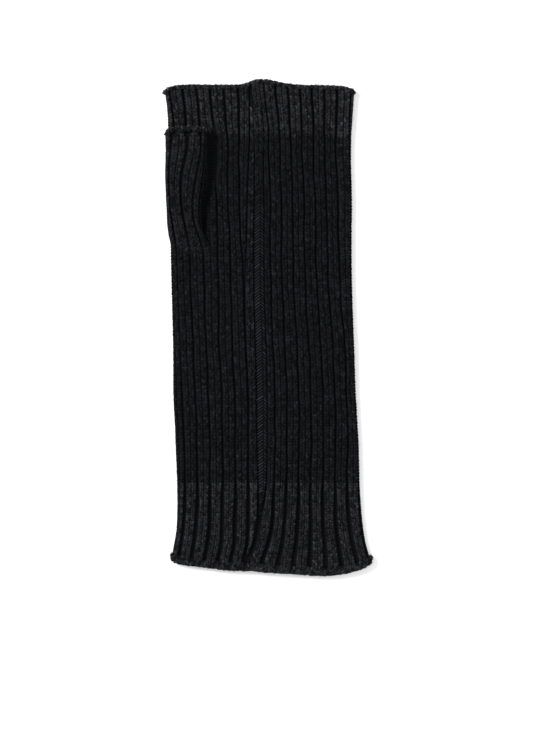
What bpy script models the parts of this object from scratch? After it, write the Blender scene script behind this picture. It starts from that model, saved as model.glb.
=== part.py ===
"""A ribbed, fingerless arm warmer with an open thumb, laid flat on its back.

Frame: +X to the right of the palm side, +Y towards the fingers, +Z up from the surface it lies
on. The origin is at the middle of the underside. Sizes are in millimetres here and are turned
into metres where the meshes are made.
"""
from collections import namedtuple
from functools import partial
from math import cos, pi, sin, sqrt

import bmesh
import bpy

MM = 0.001

# Heights through the laid-out tube, from the surface up.
BACK_WALL = 2.4          # the back panel, plain, as it rests on its face
SLIT = 0.6               # the flat hollow between the two panels
PALM_WALL = 3.0          # the palm panel, at the crest of a rib
RIB_DEPTH = 1.4          # from the crest of a rib down to the furrow beside it
FOLD_HEIGHT = 2.9        # where the side folds reach furthest out
FOLD_WALL = 2.6          # the wall at the two side folds
FOLD_ROLL = 5.5          # how far in from a side fold the palm side is still rounding up
BACK_ROLL = 2.4          # how far in from a side fold the underside is flat
GAP = 0.3                # left between two pieces that touch

# The thumb, on top of the palm.
THUMB_BACK_WALL = 1.4
THUMB_SLIT = 0.5
THUMB_ROLL = 4.2         # how far in from its side folds the thumb is still rounding up
THUMB_FOOT = 0.42        # its side folds lie at this share of its thickness
THUMB_RIB_DEPTH = 1.1
THUMB_HOLLOW_END = 60.0  # how far down towards the arm the inside of the thumb reaches
THUMB_ROWS = 14

# The thumb hole, through the palm panel and the thumb's back wall, hidden under the thumb.
HOLE_CENTRE = (-44.0, 66.0)
HOLE_RADII = (5.2, 3.5)
HOLE_SIDES = 16

# The rolled edges, as height along Y and thickness, and the palm seam.
FINGER_ROLL = (2.6, 2.7)
THUMB_EDGE_ROLL = (3.2, 2.3)
ARM_ROLL = (4.8, 2.7)
ROLL_SIDES = 8
FOLD_STEPS = 4           # faces round each side fold of a rolled edge
CURVE_PARTS = 3          # faces of a rolled edge between two points of its end's curve
SEAM_THICKNESS = 1.9
SEAM_SIDE = 0.6          # height of its two upright sides
SEAM_CLEARANCE = 0.35    # between the seam and each side of its groove
SEAM_BOTTOM = -84.0      # below this the seam is only a crease between two ribs
SEAM_STEPS = 5           # faces over its rounded top

LEFT_RIBS = 5            # whole ribs between the first and the last furrow left of the seam
RIGHT_RIBS = 6           # whole ribs between the first and the last furrow right of it
RIB_STEPS = 4            # faces across one rib
BACK_CELLS = 5           # faces across the underside
END_FADE = 42.0          # how far from an end the rows still follow that end's curve
THUMB_FADE = 12.0        # the same for the two ends of the thumb
THUMB_BOW = 5.0          # how far the line where the thumb joins the palm bows towards the arm

# Across the tube, from the arm end to the finger end: where its side folds, the first and last
# furrows left of the seam, the seam's groove, and the first and last furrows right of it lie.
Section = namedtuple("Section", "y left first last seam_left seam_right start stop right")
TUBE_SECTIONS = [
    Section(-128.0, -53.8, -48.9, -13.1, -12.0, -10.4, -2.9, 49.6, 58.0),
    Section(-119.6, -52.1, -47.8, -10.8, -8.2, -6.8, 0.1, 47.4, 55.0),
    Section(-111.4, -50.7, -46.6, -10.6, -6.2, -4.9, 2.0, 45.5, 53.5),
    Section(-101.5, -50.4, -45.8, -10.6, -4.9, -3.2, 3.2, 44.4, 52.4),
    Section(-86.1, -50.6, -45.4, -10.5, -4.9, -0.7, 3.8, 44.0, 51.5),
    Section(-61.9, -51.4, -45.7, -10.5, -5.6, -0.2, 4.2, 44.4, 50.8),
    Section(-35.5, -52.6, -46.9, -10.6, -5.8, -0.2, 4.2, 43.8, 49.3),
    Section(-9.1, -52.7, -48.0, -12.0, -6.4, -0.7, 3.1, 42.7, 48.4),
    Section(17.3, -53.3, -49.1, -12.8, -7.2, -1.6, 2.1, 40.5, 47.4),
    Section(43.7, -53.9, -50.2, -14.2, -7.2, -1.8, 1.6, 39.4, 47.0),
    Section(70.1, -54.3, -51.3, -15.3, -7.1, -1.8, 1.7, 38.9, 47.2),
    Section(92.1, -54.6, -51.5, -15.6, -7.1, -2.1, 0.9, 37.8, 46.7),
    Section(105.3, -55.0, -51.8, -15.9, -7.3, -1.8, 0.6, 37.8, 46.9),
    Section(122.9, -56.2, -52.4, -16.7, -7.9, -1.8, -0.7, 38.3, 48.3),
    Section(131.4, -57.2, -53.5, -17.2, -8.4, -1.8, -1.0, 38.3, 48.7),
]

# Across the thumb, from where it joins the palm up to its open end: its side folds, its three
# furrows, and how thick it lies on the palm.
ThumbSection = namedtuple("ThumbSection", "y left first second third right thickness")
THUMB_SECTIONS = [
    ThumbSection(38.2, -52.6, -49.7, -41.7, -34.3, -28.4, 0.7),
    ThumbSection(43.7, -53.4, -50.2, -42.1, -34.8, -29.6, 1.6),
    ThumbSection(50.3, -54.6, -51.3, -43.5, -36.1, -32.1, 3.0),
    ThumbSection(56.9, -55.4, -52.4, -45.3, -38.1, -33.7, 4.1),
    ThumbSection(63.5, -55.8, -53.4, -46.6, -39.5, -34.3, 4.8),
    ThumbSection(70.1, -56.1, -53.8, -47.3, -40.5, -34.3, 5.1),
    ThumbSection(83.3, -56.6, -54.4, -47.2, -37.6, -33.7, 5.2),
    ThumbSection(96.5, -56.4, -53.5, -44.2, -35.9, -33.2, 5.1),
    ThumbSection(107.0, -56.5, -52.3, -43.6, -35.9, -32.4, 4.9),
]

# The three ends: the level that each is measured from, and its curve from side to side.
FINGER_LEVEL = 133.8
THUMB_LEVEL = 110.2
ARM_LEVEL = -134.0
EndPoint = namedtuple("EndPoint", "x y")
FINGER_END = [
    EndPoint(-58.2, 130.6), EndPoint(-55.0, 132.2), EndPoint(-50.0, 133.6), EndPoint(-38.0, 134.0),
    EndPoint(-17.0, 134.0), EndPoint(-12.5, 135.1), EndPoint(-7.5, 136.3), EndPoint(1.0, 136.85),
    EndPoint(6.5, 135.2), EndPoint(17.0, 133.8), EndPoint(35.0, 133.6), EndPoint(44.0, 132.6),
    EndPoint(48.8, 130.6),
]
THUMB_END = [
    EndPoint(-56.6, 107.4), EndPoint(-54.8, 109.2), EndPoint(-51.0, 110.2), EndPoint(-40.0, 110.5),
    EndPoint(-34.0, 110.2), EndPoint(-31.0, 109.2),
]
ARM_END = [
    EndPoint(-53.8, -128.2), EndPoint(-50.0, -130.1), EndPoint(-42.0, -131.4),
    EndPoint(-30.0, -132.8), EndPoint(-18.0, -134.1), EndPoint(-9.0, -134.2),
    EndPoint(0.0, -135.1), EndPoint(14.0, -135.8), EndPoint(32.0, -136.9),
    EndPoint(42.0, -135.8), EndPoint(52.0, -133.2), EndPoint(58.2, -129.6),
]

# Worked out from the sizes above. The seam lifts the finger end of the palm side alone.
FINGER_BACK_END = [point for point in FINGER_END if point.y <= 134.0]
PALM_TOP = BACK_WALL + SLIT + PALM_WALL
THUMB_BASE = PALM_TOP + GAP
TUBE_TOP = FINGER_LEVEL - FINGER_ROLL[0] - GAP
TUBE_BOTTOM = ARM_LEVEL + ARM_ROLL[0] + GAP
THUMB_TOP = THUMB_LEVEL - THUMB_EDGE_ROLL[0] - GAP


def read(table, key):
    """The table's row at any value of its first column, eased through the rows around it."""
    key = min(max(key, table[0][0]), table[-1][0])
    after = next(i for i in range(1, len(table)) if key <= table[i][0])
    before = after - 1
    span = table[after][0] - table[before][0]
    t = (key - table[before][0]) / span

    def slope(index, column):
        low = table[max(index - 1, 0)]
        high = table[min(index + 1, len(table) - 1)]
        return (high[column] - low[column]) / (high[0] - low[0]) * span

    def value(column):
        rise = t * t * (3 - 2 * t)
        level = (1 - rise) * table[before][column] + rise * table[after][column]
        leaving = (t - 2 * t**2 + t**3) * slope(before, column)
        arriving = (t**3 - t**2) * slope(after, column)
        return level + leaving + arriving

    return type(table[0])(*(value(column) for column in range(len(table[0]))))


def tube_y(level, x, finger_end=FINGER_END):
    """Where a row of the tube lies. The rows near an end follow that end's curve."""
    to_arm = max(0.0, 1 - (level - TUBE_BOTTOM) / END_FADE) ** 2
    to_fingers = max(0.0, 1 - (TUBE_TOP - level) / END_FADE) ** 2
    arm_offset = read(ARM_END, x).y + ARM_ROLL[0] + GAP - TUBE_BOTTOM
    finger_offset = read(finger_end, x).y - FINGER_ROLL[0] - GAP - TUBE_TOP
    return level + to_arm * arm_offset + to_fingers * finger_offset


def thumb_y(level, x):
    """Where a row of the thumb lies: it follows the open end's curve, or bows where it joins."""
    to_end = max(0.0, 1 - (THUMB_TOP - level) / THUMB_FADE) ** 2
    joining = THUMB_SECTIONS[0]
    to_join = max(0.0, 1 - (level - joining.y) / THUMB_FADE)
    middle, half = (joining.left + joining.right) / 2, (joining.right - joining.left) / 2
    bow = THUMB_BOW * max(0.0, 1 - ((x - middle) / half) ** 2)
    end_offset = read(THUMB_END, x).y - THUMB_EDGE_ROLL[0] - GAP - THUMB_TOP
    return level + to_end * end_offset - to_join * bow


def crown(x, left, right, foot, top, roll):
    """Height of a laid-out tube's upper side, which rounds down to its two side folds."""
    inset = min(x - left, right - x)
    if inset >= roll:
        return top
    return foot + (top - foot) * sqrt(max(0.0, 1 - (1 - inset / roll) ** 2))


def lobe(share):
    """Depth below the crest across one rib, from 1 in a furrow to 0 at the rib's middle."""
    return 1 - sin(pi * share) ** 0.6


def spread(low, high, count):
    """The places that part a stretch into equal shares, with both its ends."""
    return [low + (high - low) * i / count for i in range(count + 1)]


def rib_cells(bounds, height, groove=None):
    """Outer points along the upper side, cell by cell, from one furrow up to the next.

    The first and last cells are ribs that roll over the side folds, so their points crowd towards
    the fold. The cell numbered groove is a flat channel instead of a rib.
    """
    last = len(bounds) - 2
    cells = []
    for number in range(last + 1):
        low, high = bounds[number], bounds[number + 1]
        points = []
        for step in range(RIB_STEPS):
            s = step / RIB_STEPS
            if number == 0:
                across, depth = s**1.7, lobe(0.5 + 0.5 * s)
            elif number == last:
                across, depth = 1 - (1 - s) ** 1.7, lobe(0.6 * s)
            elif number == groove:
                across, depth = s, 1.0
            else:
                across, depth = s, lobe(s)
            x = low + (high - low) * across
            points.append((x, height(x, depth)))
        cells.append(points)
    return cells


def under_fold(side, inwards, foot, base, roll):
    """Outer points from a side fold down to the flat underside."""
    points = []
    for angle in (pi / 6, pi / 3):
        x = side + inwards * roll * (1 - cos(angle))
        points.append((x, base + (foot - base) * (1 - sin(angle))))
    return points


def tube_section(level):
    """The section that a row of the tube has, each place read where the row passes it."""
    guess = read(TUBE_SECTIONS, level)
    places = [getattr(read(TUBE_SECTIONS, tube_y(level, x)), column)
              for column, x in zip(Section._fields[1:], guess[1:])]
    return Section(level, *places)


def tube_row(level):
    """One row of the tube: for each cell, its outer points and the inner point at its start."""
    section = tube_section(level)
    left, right = section.left, section.right
    furrows = spread(section.first, section.last, LEFT_RIBS)
    furrows += [section.seam_left, section.seam_right]
    furrows += spread(section.start, section.stop, RIGHT_RIBS)

    def height(x, depth):
        rise = crown(x, left, right, FOLD_HEIGHT, PALM_TOP, FOLD_ROLL)
        return rise - RIB_DEPTH * (depth if left < x < right else 0.0)

    outer = rib_cells([left] + furrows + [right], height, groove=LEFT_RIBS + 2)
    slit_middle = BACK_WALL + SLIT / 2
    inner = [(left + FOLD_WALL, slit_middle)]
    inner += [(x, BACK_WALL + SLIT) for x in furrows]

    outer.append([(right, FOLD_HEIGHT)] + under_fold(right, -1, FOLD_HEIGHT, 0.0, BACK_ROLL))
    inner.append((right - FOLD_WALL, slit_middle))
    for x in spread(right - BACK_ROLL, left + BACK_ROLL, BACK_CELLS):
        outer.append([(x, 0.0)])
        inner.append((min(max(x, left + FOLD_WALL + 1), right - FOLD_WALL - 1), BACK_WALL))
    outer[-1] += reversed(under_fold(left, 1, FOLD_HEIGHT, 0.0, BACK_ROLL))
    under_y = partial(tube_y, level, finger_end=FINGER_BACK_END)
    return place_row(outer, inner, partial(tube_y, level), under_y)


def thumb_row(level):
    """One row of the thumb: for each cell, its outer points and the inner point at its start."""
    section = read(THUMB_SECTIONS, level)
    left, right = section.left, section.right
    furrows = [section.first, section.second, section.third]
    foot = THUMB_BASE + THUMB_FOOT * section.thickness
    top = THUMB_BASE + section.thickness
    rib_depth = min(THUMB_RIB_DEPTH, 0.3 * section.thickness)
    back_roll = 0.4 * section.thickness

    def height(x, depth):
        rise = crown(x, left, right, foot, top, THUMB_ROLL)
        return rise - rib_depth * (depth if left < x < right else 0.0)

    outer = rib_cells([left] + furrows + [right], height)
    slit_middle = THUMB_BASE + THUMB_BACK_WALL + THUMB_SLIT / 2
    wall = min(1.8, 0.5 * (section.first - left))
    inner = [(left + wall, slit_middle)]
    inner += [(x, THUMB_BASE + THUMB_BACK_WALL + THUMB_SLIT) for x in furrows]

    outer.append([(right, foot)] + under_fold(right, -1, foot, THUMB_BASE, back_roll))
    inner.append((right - wall, slit_middle))
    for x in spread(right - back_roll, left + back_roll, 2):
        outer.append([(x, THUMB_BASE)])
        inner.append((min(max(x, left + wall + 1), right - wall - 1), THUMB_BASE + THUMB_BACK_WALL))
    outer[-1] += reversed(under_fold(left, 1, foot, THUMB_BASE, back_roll))
    return place_row(outer, inner, partial(thumb_y, level), partial(thumb_y, level))


def place_row(outer, inner, upper_y, under_y):
    """Gives each point of a row its place along Y. Cells of one rib are on the upper side."""
    placed_outer, placed_inner = [], []
    for cell, (inner_x, inner_z) in zip(outer, inner):
        y_at = upper_y if len(cell) == RIB_STEPS else under_y
        placed_outer.append([(x, y_at(x), z) for x, z in cell])
        placed_inner.append((inner_x, y_at(inner_x), inner_z))
    return placed_outer, placed_inner


def tube_levels():
    """The levels of the tube's rows: each section, and halfway between two of them."""
    inside = [section.y for section in TUBE_SECTIONS if TUBE_BOTTOM + 3 < section.y < TUBE_TOP - 3]
    levels = [TUBE_BOTTOM] + inside + [TUBE_TOP]
    halves = [(low + high) / 2 for low, high in zip(levels, levels[1:])]
    return sorted(levels + halves)


def add_points(bm, points):
    return [bm.verts.new((x * MM, y * MM, z * MM)) for x, y, z in points]


def bridge(bm, low, high):
    """Quads between two rings of the same number of points."""
    for i in range(len(low)):
        j = (i + 1) % len(low)
        bm.faces.new((low[i], low[j], high[j], high[i]))


def add_rim(bm, outer_cells, inner):
    """The knitted edge between the outer and the inner surface, a fan of faces in each cell."""
    for i, cell in enumerate(outer_cells):
        j = (i + 1) % len(inner)
        arc = cell + [outer_cells[j][0]]
        middle = len(arc) // 2
        for k in range(len(arc) - 1):
            bm.faces.new((arc[k], arc[k + 1], inner[i] if k < middle else inner[j]))
        bm.faces.new((arc[middle], inner[j], inner[i]))


def wall_mesh(rows, inner_from=0):
    """A cloth wall through rows of cells. With inner_from, it is shut below that row."""
    bm = bmesh.new()
    outer_rows = [[add_points(bm, cell) for cell in outer] for outer, inner in rows]
    inner_rows = [add_points(bm, inner) for outer, inner in rows[inner_from:]]
    rings = [[vert for cell in row for vert in cell] for row in outer_rows]
    for low, high in zip(rings, rings[1:]):
        bridge(bm, low, high)
    for low, high in zip(inner_rows, inner_rows[1:]):
        bridge(bm, low, high)
    add_rim(bm, outer_rows[-1], inner_rows[-1])
    if inner_from:
        bm.faces.new(rings[0])
        bm.faces.new(inner_rows[0])
    else:
        add_rim(bm, outer_rows[0], inner_rows[0])
    return bm


def ring_mesh(rings, closed):
    """A solid through a list of rings, joined end to start or capped at both ends."""
    bm = bmesh.new()
    loops = [add_points(bm, ring) for ring in rings]
    for low, high in zip(loops, loops[1:]):
        bridge(bm, low, high)
    if closed:
        bridge(bm, loops[-1], loops[0])
    else:
        bm.faces.new(loops[0])
        bm.faces.new(loops[-1])
    return bm


def stations(curve, left, right):
    """Places along an end, closer together where its curve has more points."""
    places = [left, right]
    for low, high in zip(curve, curve[1:]):
        places += [x for x in spread(low.x, high.x, CURVE_PARTS)[1:] if left + 1 < x < right - 1]
    return sorted(places)


def rolled_edge(curve, back_curve, inwards, size, levels):
    """A bead round a flattened opening, along the curves of its upper side and of its back.

    inwards is the sign of the way along Y from the curve into the piece, and levels the heights
    of the bead's outer faces on the two sides.
    """
    tall, thick = size
    low, high = levels[0] + thick / 2, levels[1] - thick / 2
    turn = (high - low) / 2
    left = curve[0].x + thick / 2 + turn
    right = curve[-1].x - thick / 2 - turn

    def fold(side, start):
        for angle in spread(start, start - pi, FOLD_STEPS)[1:-1]:
            away_x, away_z = cos(angle), sin(angle)
            yield side + turn * away_x, low + turn + turn * away_z, away_x, away_z

    path = [(x, high, 0.0, 1.0) for x in stations(curve, left, right)]
    path += fold(right, pi / 2)
    path += [(x, low, 0.0, -1.0) for x in reversed(stations(back_curve, left, right))]
    path += fold(left, -pi / 2)

    reach = 0.5 / cos(pi / ROLL_SIDES)
    rings = []
    for middle_x, middle_z, normal_x, normal_z in path:
        ring = []
        for side in range(ROLL_SIDES):
            angle = 2 * pi * (side + 0.5) / ROLL_SIDES
            out = reach * thick * cos(angle)
            x = middle_x + normal_x * out
            end = read(curve if normal_z > 0.5 else back_curve, x).y
            y = end + inwards * tall / 2 + reach * tall * sin(angle)
            ring.append((x, y, middle_z + normal_z * out))
        rings.append(ring)
    return ring_mesh(rings, closed=True)


def palm_seam():
    """The band of seam stitches, flat below and rounded above, in its groove."""
    base = PALM_TOP - RIB_DEPTH + GAP
    levels = [SEAM_BOTTOM] + [level for level in tube_levels() if level > SEAM_BOTTOM + 1]
    rings = []
    for level in levels:
        section = tube_section(level)
        half = (section.seam_right - section.seam_left) / 2 - SEAM_CLEARANCE
        middle = (section.seam_left + section.seam_right) / 2
        ring = [(middle - half, base), (middle + half, base)]
        for angle in spread(0.0, pi, SEAM_STEPS):
            rise = SEAM_SIDE + (SEAM_THICKNESS - SEAM_SIDE) * sin(angle)
            ring.append((middle + half * cos(angle), base + rise))
        rings.append([(x, tube_y(level, x), z) for x, z in ring])
    return ring_mesh(rings, closed=False)


def thumb_hole():
    """The cutter of the thumb hole: from inside the hand's hollow up into the thumb's."""
    floor = BACK_WALL + SLIT / 2
    ceiling = THUMB_BASE + THUMB_BACK_WALL + THUMB_SLIT / 2
    rings = []
    for z in (floor, ceiling):
        ring = []
        for side in range(HOLE_SIDES):
            angle = 2 * pi * side / HOLE_SIDES
            x = HOLE_CENTRE[0] + HOLE_RADII[0] * cos(angle)
            y = HOLE_CENTRE[1] + HOLE_RADII[1] * sin(angle)
            ring.append((x, y, z))
        rings.append(ring)
    return ring_mesh(rings, closed=False)


def make_material(name, colour, roughness):
    material = bpy.data.materials.new(name)
    material.use_nodes = True
    shader = material.node_tree.nodes["Principled BSDF"]
    shader.inputs["Base Color"].default_value = (*colour, 1.0)
    shader.inputs["Roughness"].default_value = roughness
    shader.inputs["Metallic"].default_value = 0.0
    return material


def make_object(name, bm, material=None):
    """Turns a bmesh into a named object with its faces pointing out."""
    bmesh.ops.recalc_face_normals(bm, faces=bm.faces)
    mesh = bpy.data.meshes.new(name)
    bm.to_mesh(mesh)
    bm.free()
    thing = bpy.data.objects.new(name, mesh)
    bpy.context.collection.objects.link(thing)
    if material:
        mesh.materials.append(material)
        mesh.shade_smooth()
        mesh.set_sharp_from_angle(angle=pi / 4)
    return thing


def cut(thing, cutter):
    boolean = thing.modifiers.new("thumb_hole", "BOOLEAN")
    boolean.operation = "DIFFERENCE"
    boolean.object = cutter


def main():
    for thing in list(bpy.data.objects):
        bpy.data.objects.remove(thing)

    black = make_material("black_yarn", (0.010, 0.010, 0.013), 0.95)
    thumb_black = make_material("thumb_yarn", (0.012, 0.012, 0.015), 0.95)
    seam_black = make_material("seam_yarn", (0.014, 0.014, 0.017), 0.9)
    charcoal = make_material("edge_yarn", (0.026, 0.026, 0.030), 0.95)

    tube_rows = [tube_row(level) for level in tube_levels()]
    tube = make_object("ribbed_tube", wall_mesh(tube_rows), black)

    levels = spread(THUMB_SECTIONS[0].y, THUMB_TOP, THUMB_ROWS)
    hollow_from = next(i for i, level in enumerate(levels) if level >= THUMB_HOLLOW_END)
    thumb_rows = [thumb_row(level) for level in levels]
    thumb = make_object("thumb_tube", wall_mesh(thumb_rows, hollow_from), thumb_black)

    cutter = make_object("thumb_hole_cutter", thumb_hole())
    cutter.hide_render = True
    cutter.display_type = "WIRE"
    cut(tube, cutter)
    cut(thumb, cutter)

    make_object("palm_seam", palm_seam(), seam_black)

    faces = (0.0, BACK_WALL + SLIT + FINGER_ROLL[1])
    thumb_faces = (THUMB_BASE, THUMB_BASE + THUMB_SECTIONS[-1].thickness)
    finger_edge = rolled_edge(FINGER_END, FINGER_BACK_END, -1, FINGER_ROLL, faces)
    arm_edge = rolled_edge(ARM_END, ARM_END, 1, ARM_ROLL, faces)
    thumb_edge = rolled_edge(THUMB_END, THUMB_END, -1, THUMB_EDGE_ROLL, thumb_faces)
    make_object("finger_edge", finger_edge, charcoal)
    make_object("arm_edge", arm_edge, charcoal)
    make_object("thumb_edge", thumb_edge, charcoal)


main()
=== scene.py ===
"""Knits a ribbed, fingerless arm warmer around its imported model, stitch by stitch.

The garment lies on its back on a pale floor, palm side up. Tables and sizes of its form are in
millimetres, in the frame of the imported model: +X to the right of the palm side, +Y towards the
fingers, +Z up. Meshes are in metres.
"""

from collections import namedtuple
from math import acos, cos, pi, radians, sin

import bpy
import numpy as np
from bpy.props import FloatProperty, FloatVectorProperty, IntProperty, PointerProperty
from bpy.types import Operator, Panel, PropertyGroup
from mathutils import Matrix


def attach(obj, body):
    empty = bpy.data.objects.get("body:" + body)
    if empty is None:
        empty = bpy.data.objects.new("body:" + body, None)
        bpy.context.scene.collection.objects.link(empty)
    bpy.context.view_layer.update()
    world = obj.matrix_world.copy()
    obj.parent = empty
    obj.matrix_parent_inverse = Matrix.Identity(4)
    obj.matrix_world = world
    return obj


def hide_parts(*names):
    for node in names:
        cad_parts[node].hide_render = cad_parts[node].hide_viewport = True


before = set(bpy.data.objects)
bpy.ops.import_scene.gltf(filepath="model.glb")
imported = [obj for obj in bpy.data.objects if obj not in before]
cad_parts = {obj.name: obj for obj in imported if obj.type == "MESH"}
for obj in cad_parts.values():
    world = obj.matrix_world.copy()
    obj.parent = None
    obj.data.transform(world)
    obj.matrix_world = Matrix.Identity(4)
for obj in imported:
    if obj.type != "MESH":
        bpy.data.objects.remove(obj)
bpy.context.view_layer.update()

bl_info = {
    "name": "Ribbed arm warmer",
    "version": (1, 0, 0),
    "blender": (4, 5, 0),
    "location": "3D View > Sidebar > Arm warmer",
    "description": "Knits a ribbed arm warmer stitch by stitch and lays it on a pale floor",
    "category": "Add Mesh",
}

MM = 0.001

# ---------------------------------------------------------------- the form, in millimetres

# Heights through the laid-out tube, from the floor up, and its side folds.
BACK_WALL = 2.4
SLIT = 0.6
PALM_TOP = 6.0
FOLD_HEIGHT = 2.9
FOLD_WALL = 2.6
FOLD_ROLL = 5.5
BACK_ROLL = 2.4
GAP = 0.3

# The thumb, on top of the palm.
THUMB_BASE = PALM_TOP + GAP
THUMB_BACK_WALL = 1.4
THUMB_SLIT = 0.5
THUMB_ROLL = 4.2
THUMB_FOOT = 0.42        # its side folds lie at this share of its thickness
THUMB_SINKS = 1.5        # its first row lies this far under the palm's face, where they join
THUMB_SETTLES = 14.0     # its rows have come up to lie on the palm this far from the first

# The rolled edges, as height along Y and thickness.
FINGER_ROLL = (2.6, 2.7)
THUMB_EDGE_ROLL = (3.2, 2.3)
ARM_ROLL = (4.8, 2.7)
UNDER_EDGE = 1.8         # how far the tube and the thumb run on under their rolled edges
EDGE_ROWS_APART = 2.2
EDGE_SIDES = 12

LEFT_RIBS = 5
RIGHT_RIBS = 6
BACK_RIBS = 17
THUMB_BACK_RIBS = 5
SEAM_CELL = LEFT_RIBS + 2                    # the cells of the palm are numbered from the left
PALM_CELLS = SEAM_CELL + 3 + RIGHT_RIBS
END_FADE = 42.0          # how far from an end the rows still follow that end's curve
THUMB_FADE = 12.0        # the same for the two ends of the thumb
THUMB_BOW = 5.0          # how far the line where the thumb joins the palm bows towards the arm


def table(columns, *rows):
    """A table with named columns."""
    Row = namedtuple("Row", columns)
    return [Row(*row) for row in rows]


# Across the tube, from the arm end to the finger end: its side folds, the first and last furrows
# left of the seam, the seam's two sides, and the first and last furrows right of it.
TUBE_SECTIONS = table(
    "y left first last seam_left seam_right start stop right",
    (-128.0, -53.8, -48.9, -13.1, -12.0, -10.4, -2.9, 49.6, 58.0),
    (-119.6, -52.1, -47.8, -10.8, -8.2, -6.8, 0.1, 47.4, 55.0),
    (-111.4, -50.7, -46.6, -10.6, -6.2, -4.9, 2.0, 45.5, 53.5),
    (-101.5, -50.4, -45.8, -10.6, -4.9, -3.2, 3.2, 44.4, 52.4),
    (-86.1, -50.6, -45.4, -10.5, -4.9, -0.7, 3.8, 44.0, 51.5),
    (-61.9, -51.4, -45.7, -10.5, -5.6, -0.2, 4.2, 44.4, 50.8),
    (-35.5, -52.6, -46.9, -10.6, -5.8, -0.2, 4.2, 43.8, 49.3),
    (-9.1, -52.7, -48.0, -12.0, -6.4, -0.7, 3.1, 42.7, 48.4),
    (17.3, -53.3, -49.1, -12.8, -7.2, -1.6, 2.1, 40.5, 47.4),
    (43.7, -53.9, -50.2, -14.2, -7.2, -1.8, 1.6, 39.4, 47.0),
    (70.1, -54.3, -51.3, -15.3, -7.1, -1.8, 1.7, 38.9, 47.2),
    (92.1, -54.6, -51.5, -15.6, -7.1, -2.1, 0.9, 37.8, 46.7),
    (105.3, -55.0, -51.3, -15.3, -7.3, -1.8, 0.6, 37.8, 46.9),
    (122.9, -56.2, -53.1, -15.9, -7.9, -3.1, -1.1, 38.2, 48.3),
    (131.4, -57.6, -54.8, -16.3, -8.7, -4.1, -2.1, 38.0, 48.7),
)

# Across the thumb, from where it joins the palm up to its open end.
THUMB_SECTIONS = table(
    "y left first second third right thickness",
    (38.2, -52.6, -50.0, -42.5, -35.1, -28.4, 0.7),
    (43.7, -53.4, -50.4, -42.4, -35.0, -30.0, 1.6),
    (50.3, -54.6, -51.3, -43.9, -37.6, -34.0, 3.0),
    (56.9, -55.4, -52.4, -45.3, -39.8, -36.0, 4.1),
    (63.5, -55.8, -53.4, -46.6, -40.8, -36.4, 4.8),
    (70.1, -56.1, -53.8, -47.3, -40.8, -36.0, 5.1),
    (83.3, -56.6, -54.4, -47.2, -38.6, -34.2, 5.2),
    (96.5, -56.4, -53.5, -44.2, -36.2, -33.3, 5.1),
    (107.0, -56.5, -52.6, -43.6, -36.0, -33.0, 4.9),
)

# The furrow between the last rib left of the seam and the single wale that runs beside the seam.
SIDE_FURROW = table(
    "y x",
    (-128.0, -12.7), (-111.4, -10.3), (-61.9, -10.3), (-35.5, -10.3), (-9.1, -11.6), (17.3, -12.1),
    (43.7, -11.7), (70.1, -11.0), (92.1, -10.3), (105.3, -9.6), (131.4, -9.8),
)

# The crease in the palm along the right side of the thumb, with half its width.
CREASE = table(
    "y x half",
    (50.3, -34.2, 1.6), (63.5, -34.4, 2.2), (70.1, -33.4, 2.6), (78.0, -32.2, 2.6),
    (88.0, -30.8, 3.3), (113.0, -30.6, 3.4),
)

# The three ends: the level that each is measured from, and its curve from side to side.
FINGER_LEVEL = 133.8
THUMB_LEVEL = 110.2
ARM_LEVEL = -134.0
FINGER_END = table(
    "x y",
    (-57.6, 130.6), (-55.0, 132.2), (-50.0, 133.6), (-38.0, 134.0), (-17.0, 133.9), (-12.0, 134.6),
    (-8.0, 136.3), (-3.0, 136.9), (2.0, 136.5), (7.5, 135.2), (17.0, 133.9), (35.0, 133.6),
    (44.0, 132.6), (48.8, 130.6),
)
THUMB_END = table(
    "x y",
    (-56.6, 107.4), (-54.8, 109.2), (-51.0, 110.2), (-40.0, 110.5), (-35.5, 110.2), (-32.6, 109.0),
)
ARM_END = table(
    "x y",
    (-53.8, -128.2), (-50.0, -130.1), (-42.0, -131.4), (-30.0, -132.8), (-18.0, -134.1),
    (-9.0, -134.2), (0.0, -135.1), (14.0, -135.8), (32.0, -136.9), (42.0, -135.8), (52.0, -133.2),
    (58.2, -129.6),
)
FINGER_BACK_END = [point for point in FINGER_END if point.y <= 134.0]
TUBE_TOP = FINGER_LEVEL - FINGER_ROLL[0] - GAP
TUBE_BOTTOM = ARM_LEVEL + ARM_ROLL[0] + GAP
THUMB_TOP = THUMB_LEVEL - THUMB_EDGE_ROLL[0] - GAP

# Levels between which a feature comes, and in a pair also those between which it goes again.
PUSHES = ((-10.0, 60.0), (98.0, 116.0))                # the thumb, on the furrows beside it
CREASE_SHOWS = ((49.0, 60.0), (106.0, 113.0))
FIRST_FURROW_FADES = ((-50.0, -10.0), (52.0, 66.0))
THUMB_SOFTENS = ((56.0, 66.0), (98.0, 104.0))          # its furrows are shallower there
SEAM_OPENS = (-104.0, -88.0)                           # its groove comes to its own depth
SEAM_FLATTENS = (84.0, 96.0)                           # the furrows beside it get shallower
RIM_MOVES_IN = (98.0, 122.0)
RIM_INSETS = (0.5, 1.4)              # of the last furrow from the side, and how much it moves in
PUSHED = {2: 0.5, 3: 1.7, 4: 1.0}    # how far furrows are pushed right, by number from the left
THUMB_SOFTER = {0: 0.6, 2: 0.35}     # by what share the thumb's furrows are shallower

# ---------------------------------------------------------------- the knitting, in millimetres

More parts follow.
